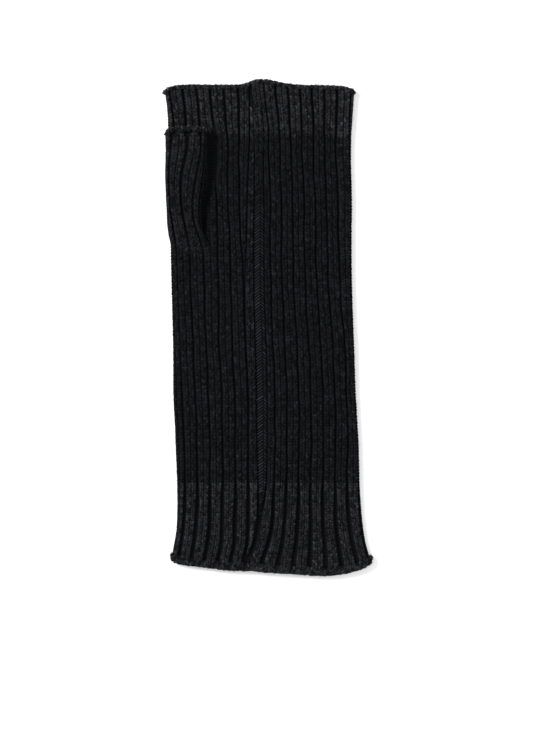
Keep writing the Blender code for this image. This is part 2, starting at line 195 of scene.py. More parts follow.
RIB_DEPTH = 1.9          # from a rib's crest down to the furrow beside it
BACK_RIB_DEPTH = 1.0     # the same on the side that it rests on
THUMB_RIB_DEPTH = 1.6
SIDE_DEPTH = 1.3         # of the furrow between the last rib and the wale beside the seam
WALE_CREASE = 0.35       # between the two wales of a rib
GROUND_DEPTH = 0.75      # the plain fabric lies this far under the stitches' outer face
LOWEST_PALM = 3.15       # and never lower than this on the palm, which lies on the back
CREASE_DEPTH = 2.6       # of the crease in the palm along the right side of the thumb
BAND_TOP_LEVEL = 105.6   # the charcoal bands reach from the ends to these levels
BAND_BOTTOM_LEVEL = -85.7
THUMB_BAND_LEVEL = 97.0
RIB_STEPS = np.array((0.0, 0.05, 0.11, 0.22, 0.5, 0.78, 0.89, 0.95))   # points across a rib
HALF_RIB = len(RIB_STEPS) // 2
ROWS_APART = 3.4         # rows of points of the plain fabric
THUMB_ROWS_APART = 2.4

# The four legs across a rib, as shares of its width from its middle and the way that they lean:
# where it has two wales, and where it is narrower and has one, which the outer legs aren't in.
LEGS = table("share lean single_share single_lean",
             (-0.355, 1, 0.0, 0), (-0.155, -1, -0.2, 1), (0.155, 1, 0.2, -1), (0.355, -1, 0.0, 0))
TWO_WALES_FROM = 4.6     # a rib is one wale where it is narrower than this
LEAST_CELL = 1.8         # and has no stitches where it is narrower than this
LEG_WIDTH = 0.24         # as a share of a rib of two wales
SINGLE_LEG_WIDTH = 2 * LEG_WIDTH * 0.85      # the same where it has one
LEAST_LEG_WIDTH = 1.05
LEG_THICKNESS = 0.72     # as a share of its width
LEG_THICKNESSES = (0.6, 1.05)                # the least and the most
LEG_LENGTH = 1.45        # in courses
STRETCHES = (0.9, 1.5)   # how far the shape of the cloth may shorten or lengthen a course

# The seam: a band of slanting stitches in a groove, which turns plain above CHEVRON_TOP.
SEAM_DEPTH = 1.4         # the groove's floor under the palm's crest
SEAM_LEFT = (RIB_DEPTH, 1.2)     # the furrow at its left, and how much shallower it gets
SEAM_RIGHT = (1.5, 0.6)          # the same at its right
SEAM_BASE = PALM_TOP - SEAM_DEPTH + GAP - 0.7    # its underside
SEAM_TOP = 5.85
SEAM_BOTTOM = -106.0
SEAM_COLUMNS = 8
SEAM_SINKS = (1.9, 13.0)         # how deep its lower end is, and over what length
SEAM_STITCH = 0.95               # thickness of its stitches
SEAM_WIDTH = 4.9                 # of the band at which its stitches have their given sizes
CHEVRON_TOP = 78.0

# The stitches of the rolled edges.
EDGE_PITCH = 1.4         # from one leg to the next along a roll
EDGE_LEAN = 27.0         # of its legs, in degrees
EDGE_STITCH = 0.9        # thickness of its legs
ARM_JOIN = -15.0         # where the welt's two ends meet: it is darker to the left of there
FIBRE_THICKNESS = 0.055  # of a loose fibre, as a share of its length
FIBRE_LENGTHS = (1.0, 2.4)
FIBRES_FROM = 1.2        # there are no loose fibres lower than this

# How much lighter single ribs are, or darker below 0, by the numbers of their cells. On the hand
# the wale beside the seam is lighter, and the last rib and the right fold carry painted light where
# the right edge glows. On the thumb the left rib and the left fold carry painted light, and the
# right rib and the right fold carry painted shade, as if lit from the left.
HAND_TONES_AND_PAINTED_LIGHT = {SEAM_CELL - 1: 0.8, PALM_CELLS - 1: 0.3, PALM_CELLS: 0.4}
THUMB_PAINTED_LIGHT_AND_SHADE = {0: 0.1, 2: -0.2, 3: -0.6, 2 + THUMB_BACK_RIBS: 0.5}

# The rolled edges. Each band of stitches is how far it lies round from the roll's top towards its
# outer rim, in degrees, and how much lighter it is: painted light and shade, darkest on the inner
# side and lightest over the top and the outer rim. Leg is the length of its stitches, join where
# its two ends meet, and fibres how many times more loose fibres than the roll the hand has.
TUBE_FACES = (0.0, BACK_WALL + SLIT + FINGER_ROLL[1])
THUMB_FACES = (THUMB_BASE, THUMB_BASE + THUMB_SECTIONS[-1].thickness)
Edge = namedtuple("Edge", "curve back_curve inwards size faces charcoal leg join fibres bands")
EDGES = {
    "finger": Edge(FINGER_END, FINGER_BACK_END, -1, FINGER_ROLL, TUBE_FACES, 1.0, 2.2, None, 3,
                   ((-52, 0.15), (-5, 0.45), (45, 0.7), (88, 0.7))),
    "thumb": Edge(THUMB_END, THUMB_END, -1, THUMB_EDGE_ROLL, THUMB_FACES, 0.7, 2.2, None, 24,
                  ((-52, -0.05), (-5, 0.2), (45, 0.4), (88, 0.4))),
    "arm": Edge(ARM_END, ARM_END, 1, ARM_ROLL, TUBE_FACES, 0.85, 2.6, ARM_JOIN, 3,
                ((-66, -0.05), (-26, 0.25), (14, 0.4), (54, 0.55), (92, 0.55))),
}


# ---------------------------------------------------------------- curves and places

def read(rows, key):
    """The table's row at any value of its first column, eased through the rows around it."""
    key = min(max(key, rows[0][0]), rows[-1][0])
    after = next(i for i in range(1, len(rows)) if key <= rows[i][0])
    before = after - 1
    span = rows[after][0] - rows[before][0]
    t = (key - rows[before][0]) / span

    def slope(index, column):
        low = rows[max(index - 1, 0)]
        high = rows[min(index + 1, len(rows) - 1)]
        return (high[column] - low[column]) / (high[0] - low[0]) * span

    def value(column):
        rise = t * t * (3 - 2 * t)
        level = (1 - rise) * rows[before][column] + rise * rows[after][column]
        leaving = (t - 2 * t**2 + t**3) * slope(before, column)
        arriving = (t**3 - t**2) * slope(after, column)
        return level + leaving + arriving

    return type(rows[0])(*(value(column) for column in range(len(rows[0]))))


def spread(low, high, count):
    """The places that part a stretch into equal shares, with both its ends."""
    return [low + (high - low) * i / count for i in range(count + 1)]


def ease(value, low, high):
    """0 below low, 1 above high and smooth between them."""
    t = np.clip((value - low) / (high - low), 0.0, 1.0)
    return t * t * (3 - 2 * t)


def within(level, comes, goes):
    """1 from where a feature has come to where it starts to go, 0 beyond, smooth between."""
    return float(ease(level, *comes) * (1 - ease(level, *goes)))


def unit(vectors):
    """The vectors at a length of 1."""
    return vectors / np.maximum(np.linalg.norm(vectors, axis=-1, keepdims=True), 1e-9)


def tube_y(level, x, finger_end=FINGER_END):
    """Where a row of the tube lies. The rows near an end follow that end's curve."""
    to_arm = max(0.0, 1 - (level - TUBE_BOTTOM) / END_FADE) ** 2
    to_fingers = max(0.0, 1 - (TUBE_TOP - level) / END_FADE) ** 2
    y = level
    if to_arm:
        y += to_arm * (read(ARM_END, x).y + ARM_ROLL[0] + GAP - TUBE_BOTTOM)
    if to_fingers:
        y += to_fingers * (read(finger_end, x).y - FINGER_ROLL[0] - GAP - TUBE_TOP)
    return y


def thumb_y(level, x):
    """Where a row of the thumb lies: it follows the open end's curve, or bows where it joins."""
    to_end = max(0.0, 1 - (THUMB_TOP - level) / THUMB_FADE) ** 2
    joining = THUMB_SECTIONS[0]
    to_join = max(0.0, 1 - (level - joining.y) / THUMB_FADE)
    middle, half = (joining.left + joining.right) / 2, (joining.right - joining.left) / 2
    bow = THUMB_BOW * max(0.0, 1 - ((x - middle) / half) ** 2)
    end_offset = read(THUMB_END, x).y - THUMB_EDGE_ROLL[0] - GAP - THUMB_TOP
    return level + to_end * end_offset - to_join * bow


def tube_section(level):
    """The section that a row of the tube has, each place read where the row passes it."""
    guess = read(TUBE_SECTIONS, level)
    places = [getattr(read(TUBE_SECTIONS, tube_y(level, x)), column)
              for column, x in zip(guess._fields[1:], guess[1:])]
    return type(guess)(level, *places)


# ---------------------------------------------------------------- outlines of a flattened tube

Hull = namedtuple("Hull", "left right foot top roll base back_roll")


def fold_arc(hull, side, angles, upper):
    """Points and outward directions round one side fold, above or below where it is widest."""
    edge = hull.right if side > 0 else hull.left
    wide = hull.roll if upper else hull.back_roll
    high = hull.top - hull.foot if upper else hull.base - hull.foot
    points = [(edge - side * wide * (1 - cos(a)), hull.foot + high * sin(a)) for a in angles]
    outward = [(side * cos(a) / wide, sin(a) / high) for a in angles]
    return np.hstack([points, unit(np.array(outward))])


def upper_angle(hull, inset):
    """The angle on the upper fold at which a point lies this far in from the side."""
    return acos(max(0.0, 1 - inset / hull.roll))


def over_palm(hull, places):
    """The upper side at each x: x, z and the outward direction there."""
    rows = []
    for x in places:
        side = 1 if x > (hull.left + hull.right) / 2 else -1
        inset = max(0.0, min(x - hull.left, hull.right - x))
        rows.append(fold_arc(hull, side, [upper_angle(hull, inset)], True)[0])
        rows[-1][0] = x
    return np.array(rows)


def under_back(hull, start, stop, shares):
    """From x=start on the upper side round under the tube to x=stop, at shares of the way.

    Returns the rows of x, z and outward direction, and the length of the way.
    """
    steps = 8
    right = upper_angle(hull, hull.right - start)
    left = upper_angle(hull, stop - hull.left)
    way = np.vstack([
        fold_arc(hull, 1, spread(right, 0.0, steps), True),
        fold_arc(hull, 1, spread(0.0, pi / 2, steps)[1:], False),
        fold_arc(hull, -1, spread(pi / 2, 0.0, steps), False),
        fold_arc(hull, -1, spread(0.0, left, steps)[1:], True),
    ])
    along = np.concatenate([[0.0], np.cumsum(np.linalg.norm(np.diff(way[:, :2], axis=0), axis=1))])
    rows = np.stack([np.interp(shares * along[-1], along, way[:, k]) for k in range(4)], axis=1)
    rows[:, 2:] = unit(rows[:, 2:])
    return rows, along[-1]


def cell_ring(hull, bounds, back_ribs, y_at):
    """A ring of points round a tube whose palm has these furrows: the points, the outward
    directions, how many points are on the palm and the width of every cell."""
    bounds = np.array(bounds)
    widths = np.diff(bounds)
    places = (bounds[:-1, None] + widths[:, None] * RIB_STEPS).ravel()
    back_shares = (np.arange(back_ribs)[:, None] + RIB_STEPS).ravel() / back_ribs
    back, length = under_back(hull, bounds[-1], bounds[0], back_shares)
    ring = np.vstack([over_palm(hull, places), back])
    y = [y_at(x, i < len(places)) for i, x in enumerate(ring[:, 0])]
    base = np.stack([ring[:, 0], y, ring[:, 1]], axis=1)
    outward = np.stack([ring[:, 2], np.zeros(len(ring)), ring[:, 3]], axis=1)
    return base, outward, len(places), [*widths, *[length / back_ribs] * back_ribs]


def inside(base, outward, section, low, high, wall):
    """The points of the hollow that lie under a ring of outer points."""
    middle, half = (section.left + section.right) / 2, (section.right - section.left) / 2
    share = (base[:, 0] - middle) / half
    x = middle + share * (half - wall)
    open_to = (high - low) / 2 * np.sqrt(np.maximum(0.0, 1 - np.abs(share) ** 6)) + 0.02
    z = (high + low) / 2 + np.sign(outward[:, 2] + 1e-6) * open_to
    return np.stack([x, base[:, 1], z], axis=1)


# ---------------------------------------------------------------- relief of the ribs

def rib_fill(level):
    """How much of its cell a rib fills: the furrows are wider in the bands at both ends."""
    at_arm = 1 - ease(level, BAND_BOTTOM_LEVEL - 12, BAND_BOTTOM_LEVEL + 8)
    at_fingers = ease(level, BAND_TOP_LEVEL - 8, BAND_TOP_LEVEL + 8)
    return 0.95 - 0.18 * at_arm - 0.05 * at_fingers


def thumb_fill(level):
    """How much of its cell a thumb rib fills: less at the open end, where it comes to a point."""
    return 0.84 - 0.3 * ease(level, THUMB_TOP - 3.5, THUMB_TOP + 0.8)


def rib_relief(shares, width, depth, fill):
    """How deep the surface lies under a rib's crest, at shares of the way across its cell."""
    off = np.abs(shares - 0.5)
    flank = np.maximum(0.0, 1 - (off / (0.5 * fill)) ** 2.8) ** 0.5
    return depth * (1 - flank) + WALE_CREASE * np.exp(-((off * width / 0.6) ** 2))


def cell_relief(width, left_depth, right_depth, fill):
    """The relief of one cell between furrows of two depths."""
    return rib_relief(RIB_STEPS, width, np.where(RIB_STEPS < 0.5, left_depth, right_depth), fill)


def back_relief(ribs, width, depth, fill):
    """The relief of the ribs round the sides and the back."""
    return rib_relief(np.tile(RIB_STEPS, ribs), width, depth, fill)


def crease_depth(level, places):
    """How deep the palm dips beside the thumb, at each x."""
    if level < THUMB_SECTIONS[0].y:
        return np.zeros(len(places))
    crease = read(CREASE, level)
    off = np.abs(places - crease.x)
    across = 1 - ease(off, crease.half - 0.8, crease.half + 0.8)
    return CREASE_DEPTH * within(level, *CREASE_SHOWS) * across


def stray(level, number):
    """How far a furrow strays to the side at a level: hand-laid ribs are never quite straight."""
    return 0.2 * sin(level / 7.3 + 1.9 * number) + 0.12 * sin(level / 3.4 + 4.3 * number)


def uneven_depth(number, level):
    """What a furrow keeps of its depth at a level: it is shallower at some places."""
    return 0.86 + 0.14 * sin(level / 11.0 + 2.7 * number)


def first_furrow(level):
    """What is left of the outermost furrow's depth: it fades away below the thumb."""
    return 1 - 0.7 * within(level, *FIRST_FURROW_FADES)


def furrow_depths(number, width, level):
    """How deep the furrows to the left and to the right of one of the palm's cells are."""
    left = right = RIB_DEPTH
    plain = float(ease(level, *SEAM_FLATTENS))
    beside = SIDE_DEPTH if width > 2.5 else RIB_DEPTH
    if LEFT_RIBS > number or number > SEAM_CELL + 1:
        left *= uneven_depth(number, level)
        right *= uneven_depth(number + 1, level)
    if number == 0:
        left = RIB_DEPTH * first_furrow(level)
    elif number == SEAM_CELL - 2:
        right = beside
    elif number == SEAM_CELL - 1:
        left = beside
        right = SEAM_LEFT[0] - SEAM_LEFT[1] * plain
    elif number == SEAM_CELL + 1:
        left = SEAM_RIGHT[0] - SEAM_RIGHT[1] * plain
    return left, right


def palm_relief(number, width, level):
    """The relief of one of the palm's cells: a rib, the wale beside the seam, or its groove."""
    if number == SEAM_CELL:
        closing = 1 - float(ease(level, *SEAM_OPENS))
        return np.full(len(RIB_STEPS), SEAM_DEPTH + (RIB_DEPTH - SEAM_DEPTH) * closing)
    small = min(1.0, width / 3.0)
    relief = cell_relief(width, *furrow_depths(number, width, level), float(rib_fill(level)))
    return RIB_DEPTH - small * (RIB_DEPTH - relief)


# ---------------------------------------------------------------- the faces of the knitting

class Form:
    """Points on a face of the knitting: rows run along the piece and columns round it."""

    def __init__(self, points, widths=None, closed=True):
        self.points = np.array(points)
        self.widths = widths                    # of each cell, in each row
        self.closed = closed
        ring = self.points
        if closed:
            ring = np.concatenate([ring[:, -1:], ring, ring[:, :1]], axis=1)
            across = ring[:, 2:] - ring[:, :-2]
        else:
            across = np.gradient(ring, axis=1)
        along = np.gradient(self.points, axis=0)
        self.across = unit(across)
        self.along = unit(along)
        self.out = unit(np.cross(across, along))

    def at(self, field, row, column):
        """The field's value between the points around a row and column."""
        row = np.clip(row, 0, len(field) - 1.001)
        low, left = np.floor(row).astype(int), np.floor(column).astype(int)
        up, over = (row - low)[:, None], (column - left)[:, None]
        count = field.shape[1]
        right = (left + 1) % count if self.closed else np.minimum(left + 1, count - 1)
        left = left % count
        near = field[low, left] * (1 - over) + field[low, right] * over
        far = field[low + 1, left] * (1 - over) + field[low + 1, right] * over
        return near * (1 - up) + far * up

    def spots(self, rows, columns):
        """Points, and the directions outwards, along the piece and round it."""
        fields = (self.out, self.along, self.across)
        ways = [unit(self.at(field, rows, columns)) for field in fields]
        return self.at(self.points, rows, columns), *ways


def tube_ring(level):
    """One row of the tube: its outer face, plain fabric and inside, and its cells' widths."""
    section = tube_section(level)
    side = max(section.last + 0.05, read(SIDE_FURROW, level).x)
    hull = Hull(section.left, section.right, FOLD_HEIGHT, PALM_TOP, FOLD_ROLL, 0.0, BACK_ROLL)
    rim = section.right - RIM_INSETS[0] - RIM_INSETS[1] * float(ease(level, *RIM_MOVES_IN))
    bounds = [*spread(section.first, section.last, LEFT_RIBS), side, section.seam_left,
              section.seam_right, *spread(section.start, section.stop, RIGHT_RIBS), rim]
    for number in (*range(1, LEFT_RIBS + 1), *range(SEAM_CELL + 2, len(bounds) - 1)):
        bounds[number] += stray(level, number)
    for number, way in PUSHED.items():
        bounds[number] += way * within(level, *PUSHES)

    base, outward, palm, widths = cell_ring(
        hull, bounds, BACK_RIBS,
        lambda x, on_palm: tube_y(level, x, FINGER_END if on_palm else FINGER_BACK_END))
    relief = np.concatenate([palm_relief(number, widths[number], level)
                             for number in range(PALM_CELLS)])
    relief += crease_depth(level, base[:palm, 0])
    resting = ease(-outward[palm:, 2], 0.5, 1.0)        # 1 where it faces the floor
    depth = RIB_DEPTH + (BACK_RIB_DEPTH - RIB_DEPTH) * resting
    depth[-HALF_RIB:] *= first_furrow(level)
    below = back_relief(BACK_RIBS, widths[-1], 1.0, float(rib_fill(level))) * depth
    relief = np.concatenate([relief, below])[:, None]

    ground = base - outward * (relief + GROUND_DEPTH)
    sunk = (outward[:, 2] > 0.7) & (ground[:, 2] < LOWEST_PALM)
    ground[sunk, 2] = LOWEST_PALM
    hollow = inside(base, outward, section, BACK_WALL, BACK_WALL + SLIT, FOLD_WALL)
    return base - outward * relief, ground, hollow, widths


def thumb_ring(level):
    """One row of the thumb: its outer face, plain fabric and inside, and its cells' widths."""
    section = read(THUMB_SECTIONS, level)
    bottom = THUMB_SECTIONS[0].y
    settled = float(ease(level, bottom, bottom + THUMB_SETTLES))
    drop = (1 - settled) * (GAP + section.thickness + THUMB_SINKS)
    foot = THUMB_BASE + THUMB_FOOT * section.thickness - drop
    top = THUMB_BASE + section.thickness - drop
    base_z = THUMB_BASE - drop
    hull = Hull(section.left, section.right, foot, top, THUMB_ROLL, base_z,
                0.4 * section.thickness)
    bounds = [section.first, section.second, section.third, section.right - 0.4]
    base, outward, palm, widths = cell_ring(hull, bounds, THUMB_BACK_RIBS,
                                            lambda x, on_palm: thumb_y(level, x))
    depth = THUMB_RIB_DEPTH + (1 - settled) * (RIB_DEPTH - THUMB_RIB_DEPTH)
    fill = float(thumb_fill(level))
    soft = within(level, *THUMB_SOFTENS)
    deep = [depth * (1 - THUMB_SOFTER.get(number, 0.0) * soft) for number in range(4)]
    ribs = [cell_relief(widths[number], *deep[number:number + 2], fill) for number in range(3)]
    fold = 1 - ease(-outward[palm:, 2], 0.2, 0.8)       # 0 where it lies on the palm
    below = back_relief(THUMB_BACK_RIBS, widths[-1], depth, fill)
    below[-HALF_RIB:] *= 1 - THUMB_SOFTER[0] * soft
    relief = np.concatenate([*ribs, below * fold])

    most = section.thickness - 0.3 + THUMB_SINKS * (1 - settled)
    sunk = np.where(outward[:, 2] < -0.5, 0.0, np.minimum(relief + GROUND_DEPTH, most))
    slit = 0.5 * THUMB_SLIT * settled
    back_wall = min(THUMB_BACK_WALL, 0.4 * section.thickness)
    flat = 0.3 + 0.7 * ease(section.thickness, 2.0, 4.8)    # its slit lies lower where it is thin
    middle = base_z + back_wall * flat + slit
    hollow = inside(base, outward, section, middle - slit, middle + slit,
                    0.5 * (section.first - section.left))
    return base - outward * relief[:, None], base - outward * sunk[:, None], hollow, widths


def knitted_form(ring_at, low, high, rows_apart):
    """A cloth from its rows: its outer face, plain fabric, the points of its inside, and levels."""
    levels = spread(low, high, round((high - low) / rows_apart))
    outer, ground, inner, widths = (np.array(part) for part in zip(*map(ring_at, levels)))
    return Form(outer, widths), ground, inner, np.array(levels)


def tube_form():
    """The tube's rows run on under its rolled edges."""
    return knitted_form(tube_ring, TUBE_BOTTOM - UNDER_EDGE, TUBE_TOP + UNDER_EDGE, ROWS_APART)


def thumb_form():
    """The thumb's rows run from the palm to under its rolled edge."""
    return knitted_form(thumb_ring, THUMB_SECTIONS[0].y, THUMB_TOP + UNDER_EDGE, THUMB_ROWS_APART)


def edge_form(edge):
    """The face of a roll round an open end: rows run along it and columns round it."""
    tall, thick = edge.size
    low, high = edge.faces[0] + thick / 2, edge.faces[1] - thick / 2
    turn = (high - low) / 2
    left = edge.curve[0].x + thick / 2 + turn
    right = edge.curve[-1].x - thick / 2 - turn
    count = round((right - left) / EDGE_ROWS_APART)

    def bend(x, start):
        angles = spread(start, start - pi, 6)[1:-1]
        return [(x + turn * cos(a), low + turn + turn * sin(a), cos(a), sin(a)) for a in angles]

    path = [(x, high, 0.0, 1.0) for x in spread(left, right, count)] + bend(right, pi / 2)
    path += [(x, low, 0.0, -1.0) for x in spread(right, left, count)] + bend(left, -pi / 2)
    rows = []
    for middle_x, middle_z, normal_x, normal_z in [*path, path[0]]:
        row = []
        for angle in (-2 * pi * side / EDGE_SIDES for side in range(EDGE_SIDES)):
            out = 0.5 * thick * cos(angle)
            x = middle_x + normal_x * out
            end = read(edge.curve if normal_z > 0.5 else edge.back_curve, x).y
            y = end + edge.inwards * tall / 2 + 0.5 * tall * sin(angle)
            row.append((x, y, middle_z + normal_z * out))
        rows.append(row)
    return Form(rows)


def seam_form():
    """The face of the seam band in its groove, from its left side over to its right side."""
    levels = spread(SEAM_BOTTOM, TUBE_TOP, round((TUBE_TOP - SEAM_BOTTOM) / ROWS_APART))
    rows, under = [], []
    depth, length = SEAM_SINKS
    side = SEAM_BASE + 0.4
    for level in levels:
        section = tube_section(level)
        half = (section.seam_right - section.seam_left) / 2 - 0.1
        middle = (section.seam_left + section.seam_right) / 2
        sunk = depth * float(1 - ease(level, SEAM_BOTTOM, SEAM_BOTTOM + length))
        arc = [(middle - half * cos(a), side + (SEAM_TOP - side) * sin(a) ** 0.7)
               for a in spread(0.0, pi, SEAM_COLUMNS)]
        rows.append([(x, tube_y(level, x), z - sunk) for x, z in arc])
        under.append([(x, tube_y(level, x), SEAM_BASE - sunk) for x, z in arc])
    widths = np.array([row[-1][0] - row[0][0] for row in rows])
    return Form(rows, widths, closed=False), np.array(under), np.array(levels)


# ---------------------------------------------------------------- meshes of plain fabric

def wrapped(grid, axis):
    """The grid with its first row or column once more at its end."""
    return np.concatenate([grid, grid.take([0], axis)], axis)


def quads(grid):
    """The faces between a grid's neighbouring points, row after row."""
    corners = [grid[:-1, :-1], grid[:-1, 1:], grid[1:, 1:], grid[1:, :-1]]
    return np.stack(corners, axis=-1).reshape(-1, 4)


def numbered(rows, columns):
    """The numbers of a grid's points, with its first column once more at its end."""
    return wrapped(np.arange(rows * columns).reshape(rows, columns), 1)


def grid_map(rows, columns):
    """Where the corners of a grid's faces lie, as shares of its columns and of its rows."""
    places = np.stack(np.meshgrid(np.arange(columns + 1), np.arange(rows + 1)), axis=2)
    corners = [places[:-1, :-1], places[:-1, 1:], places[1:, 1:], places[1:, :-1]]
    return np.stack(corners, axis=2).reshape(-1, 4, 2) / (columns, rows)


def add_piece(name, mesh):
    """A new object with this mesh, light or camera, in the scene."""
    piece = bpy.data.objects.new(name, mesh)
    bpy.context.scene.collection.objects.link(piece)
    return piece


def set_values(mesh, name, values):
    """Keeps one number for each point of the mesh."""
    attribute = mesh.attributes.new(name, "FLOAT", "POINT")
    attribute.data.foreach_set("value", np.asarray(values, dtype=np.float32).ravel())


def set_map(mesh, name, places):
    """A UV map from one place for each face corner."""
    layer = mesh.uv_layers.new(name=name)
    layer.data.foreach_set("uv", np.asarray(places, dtype=np.float32).ravel())


def put_on(piece, replaced=()):
    """Makes a piece part of the garment's one body."""
    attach(piece, "root")
    for node in replaced:
        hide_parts(node)


def fabric(name, node, points, faces, values, places, courses):
    """A piece of plain fabric in place of a node.

    Values are the numbers that its points keep, places lie each face corner in its bake map, and
    courses are how often the knitting repeats across and along that map.
    """
    mesh = bpy.data.meshes.new(name)
    mesh.from_pydata((points.reshape(-1, 3) * MM).tolist(), [], faces)
    mesh.validate()
    mesh.shade_smooth()
    piece = add_piece(name, mesh)
    for key, numbers in values.items():
        set_values(mesh, key, np.broadcast_to(numbers, points.shape[:-1]))
    set_map(mesh, "OFBake", places)
    set_map(mesh, "Knit", places * courses)
    mesh.materials.append(ground_yarn())
    put_on(piece, [node])


def shell(name, node, outer, inner, charcoal, tone, courses):
    """A closed cloth wall between an outer and an inner grid of points."""
    rows, columns = outer.shape[:2]
    outside = numbered(rows, columns)
    lining = outside + rows * columns
    swapped = [1, 0, 3, 2]                      # a face's corners in the other sense
    faces = np.concatenate([
        quads(outside),
        quads(lining)[:, ::-1],
        quads(np.stack([outside[0], lining[0]]))[:, swapped],
        quads(np.stack([outside[-1], lining[-1]])),
    ])
    face_map = grid_map(rows - 1, columns) * (0.49, 0.94) + (0.0, 0.03)
    strip = grid_map(1, columns) * (0.98, 0.015)
    places = np.concatenate([
        face_map,
        face_map[:, ::-1] + (0.51, 0.0),
        (strip * (1, -1) + (0.0, 0.015))[:, swapped],
        strip + (0.0, 0.985),
    ]).reshape(-1, 2)
    fabric(name, node, np.stack([outer, inner]), faces.tolist(),
           {"charcoal": charcoal, "tone": tone}, places,
           (4 * columns / len(RIB_STEPS) / 0.49, courses / 0.94))


def bead(name, node, points, charcoal):
    """A closed ring of cloth from the rows of points round a roll, the last as the first."""
    rows, columns = len(points) - 1, points.shape[1]
    faces = quads(wrapped(numbered(rows, columns), 0))
    places = grid_map(rows, columns)[..., ::-1].reshape(-1, 2)
    fabric(name, node, points[:-1], faces.tolist(), {"charcoal": charcoal},
           places, (rows, columns))


# ---------------------------------------------------------------- node trees

def first_output(value):
    """A node's first output. A socket or a plain value stays what it is."""
    return value.outputs[0] if isinstance(value, bpy.types.Node) else value


class Nodes:
    """Adds nodes to a tree, each in the column after the nodes that it is made from."""

    def __init__(self, tree, first=0):
        self.tree = tree
        self.first = first
        self.columns = {}

    def wire(self, node, **links):
        """Gives each named or numbered socket, such as Base_Color or n0, its value or source."""
        for name, value in links.items():
            by_number = name[0] == "n" and name[1:].isdigit()
            socket = node.inputs[int(name[1:]) if by_number else name.replace("_", " ")]
            source = first_output(value)
            if isinstance(source, bpy.types.NodeSocket):
                self.tree.links.new(source, socket)
            else:
                socket.default_value = value
        return node

    def add(self, kind, settings=None, **links):
        """Adds a node with its settings and its sockets' values or sources."""
        node = self.tree.nodes.new(kind)
        sources = [first_output(value) for value in links.values()]
        after = [self.columns[source.node.name] + 1 for source in sources
                 if isinstance(source, bpy.types.NodeSocket)]
        column = max(after, default=self.first)
        node.location = (220 * column, -190 * list(self.columns.values()).count(column))
        self.columns[node.name] = column
        for name, value in (settings or {}).items():
            setattr(node, name, value)
        return self.wire(node, **links)

    def math(self, operation, *values):
        """One sum on numbers or on other nodes' numbers."""
        numbers = {f"n{i}": value for i, value in enumerate(values)}
        return self.add("ShaderNodeMath", {"operation": operation}, **numbers)

    def scaled(self, vector, factor):
        """A vector or a colour times a number."""
        return self.add("ShaderNodeVectorMath", {"operation": "SCALE"}, n0=vector, Scale=factor)

    def mixed(self, factor, first, second):
        """The first colour where the factor is 0 and the second where it is 1."""
        node = self.add("ShaderNodeMix", {"data_type": "RGBA"}, n0=factor, n6=first, n7=second)
        return node.outputs[2]

    def noise(self, where, scale, detail, roughness):
        """A soft, uneven pattern from 0 to 1."""
        return self.add("ShaderNodeTexNoise", Vector=where, Scale=scale, Detail=detail,
                        Roughness=roughness).outputs["Fac"]

    def between(self, value, low, high):
        """0 where a number is below low and 1 where it is above high."""
        return self.add("ShaderNodeMapRange", Value=value, From_Min=low, From_Max=high)


def new_tree(name, kind, inputs, outputs):
    """A node group with named sockets. Returns its nodes, and its inputs inside the group."""
    tree = bpy.data.node_groups.new(name, kind)
    for socket_name, (socket_kind, value) in inputs.items():
        socket = tree.interface.new_socket(socket_name, in_out="INPUT",
                                           socket_type="NodeSocket" + socket_kind)
        if value is not None:
            socket.default_value = value
    for socket_name, socket_kind in outputs.items():
        tree.interface.new_socket(socket_name, in_out="OUTPUT",
                                  socket_type="NodeSocket" + socket_kind)
    nodes = Nodes(tree)
    return nodes, nodes.add("NodeGroupInput").outputs


def shared(store, name, make):
    """The tree or material of this name, made the first time that it is asked for."""
    return store.get(name) or make(name)


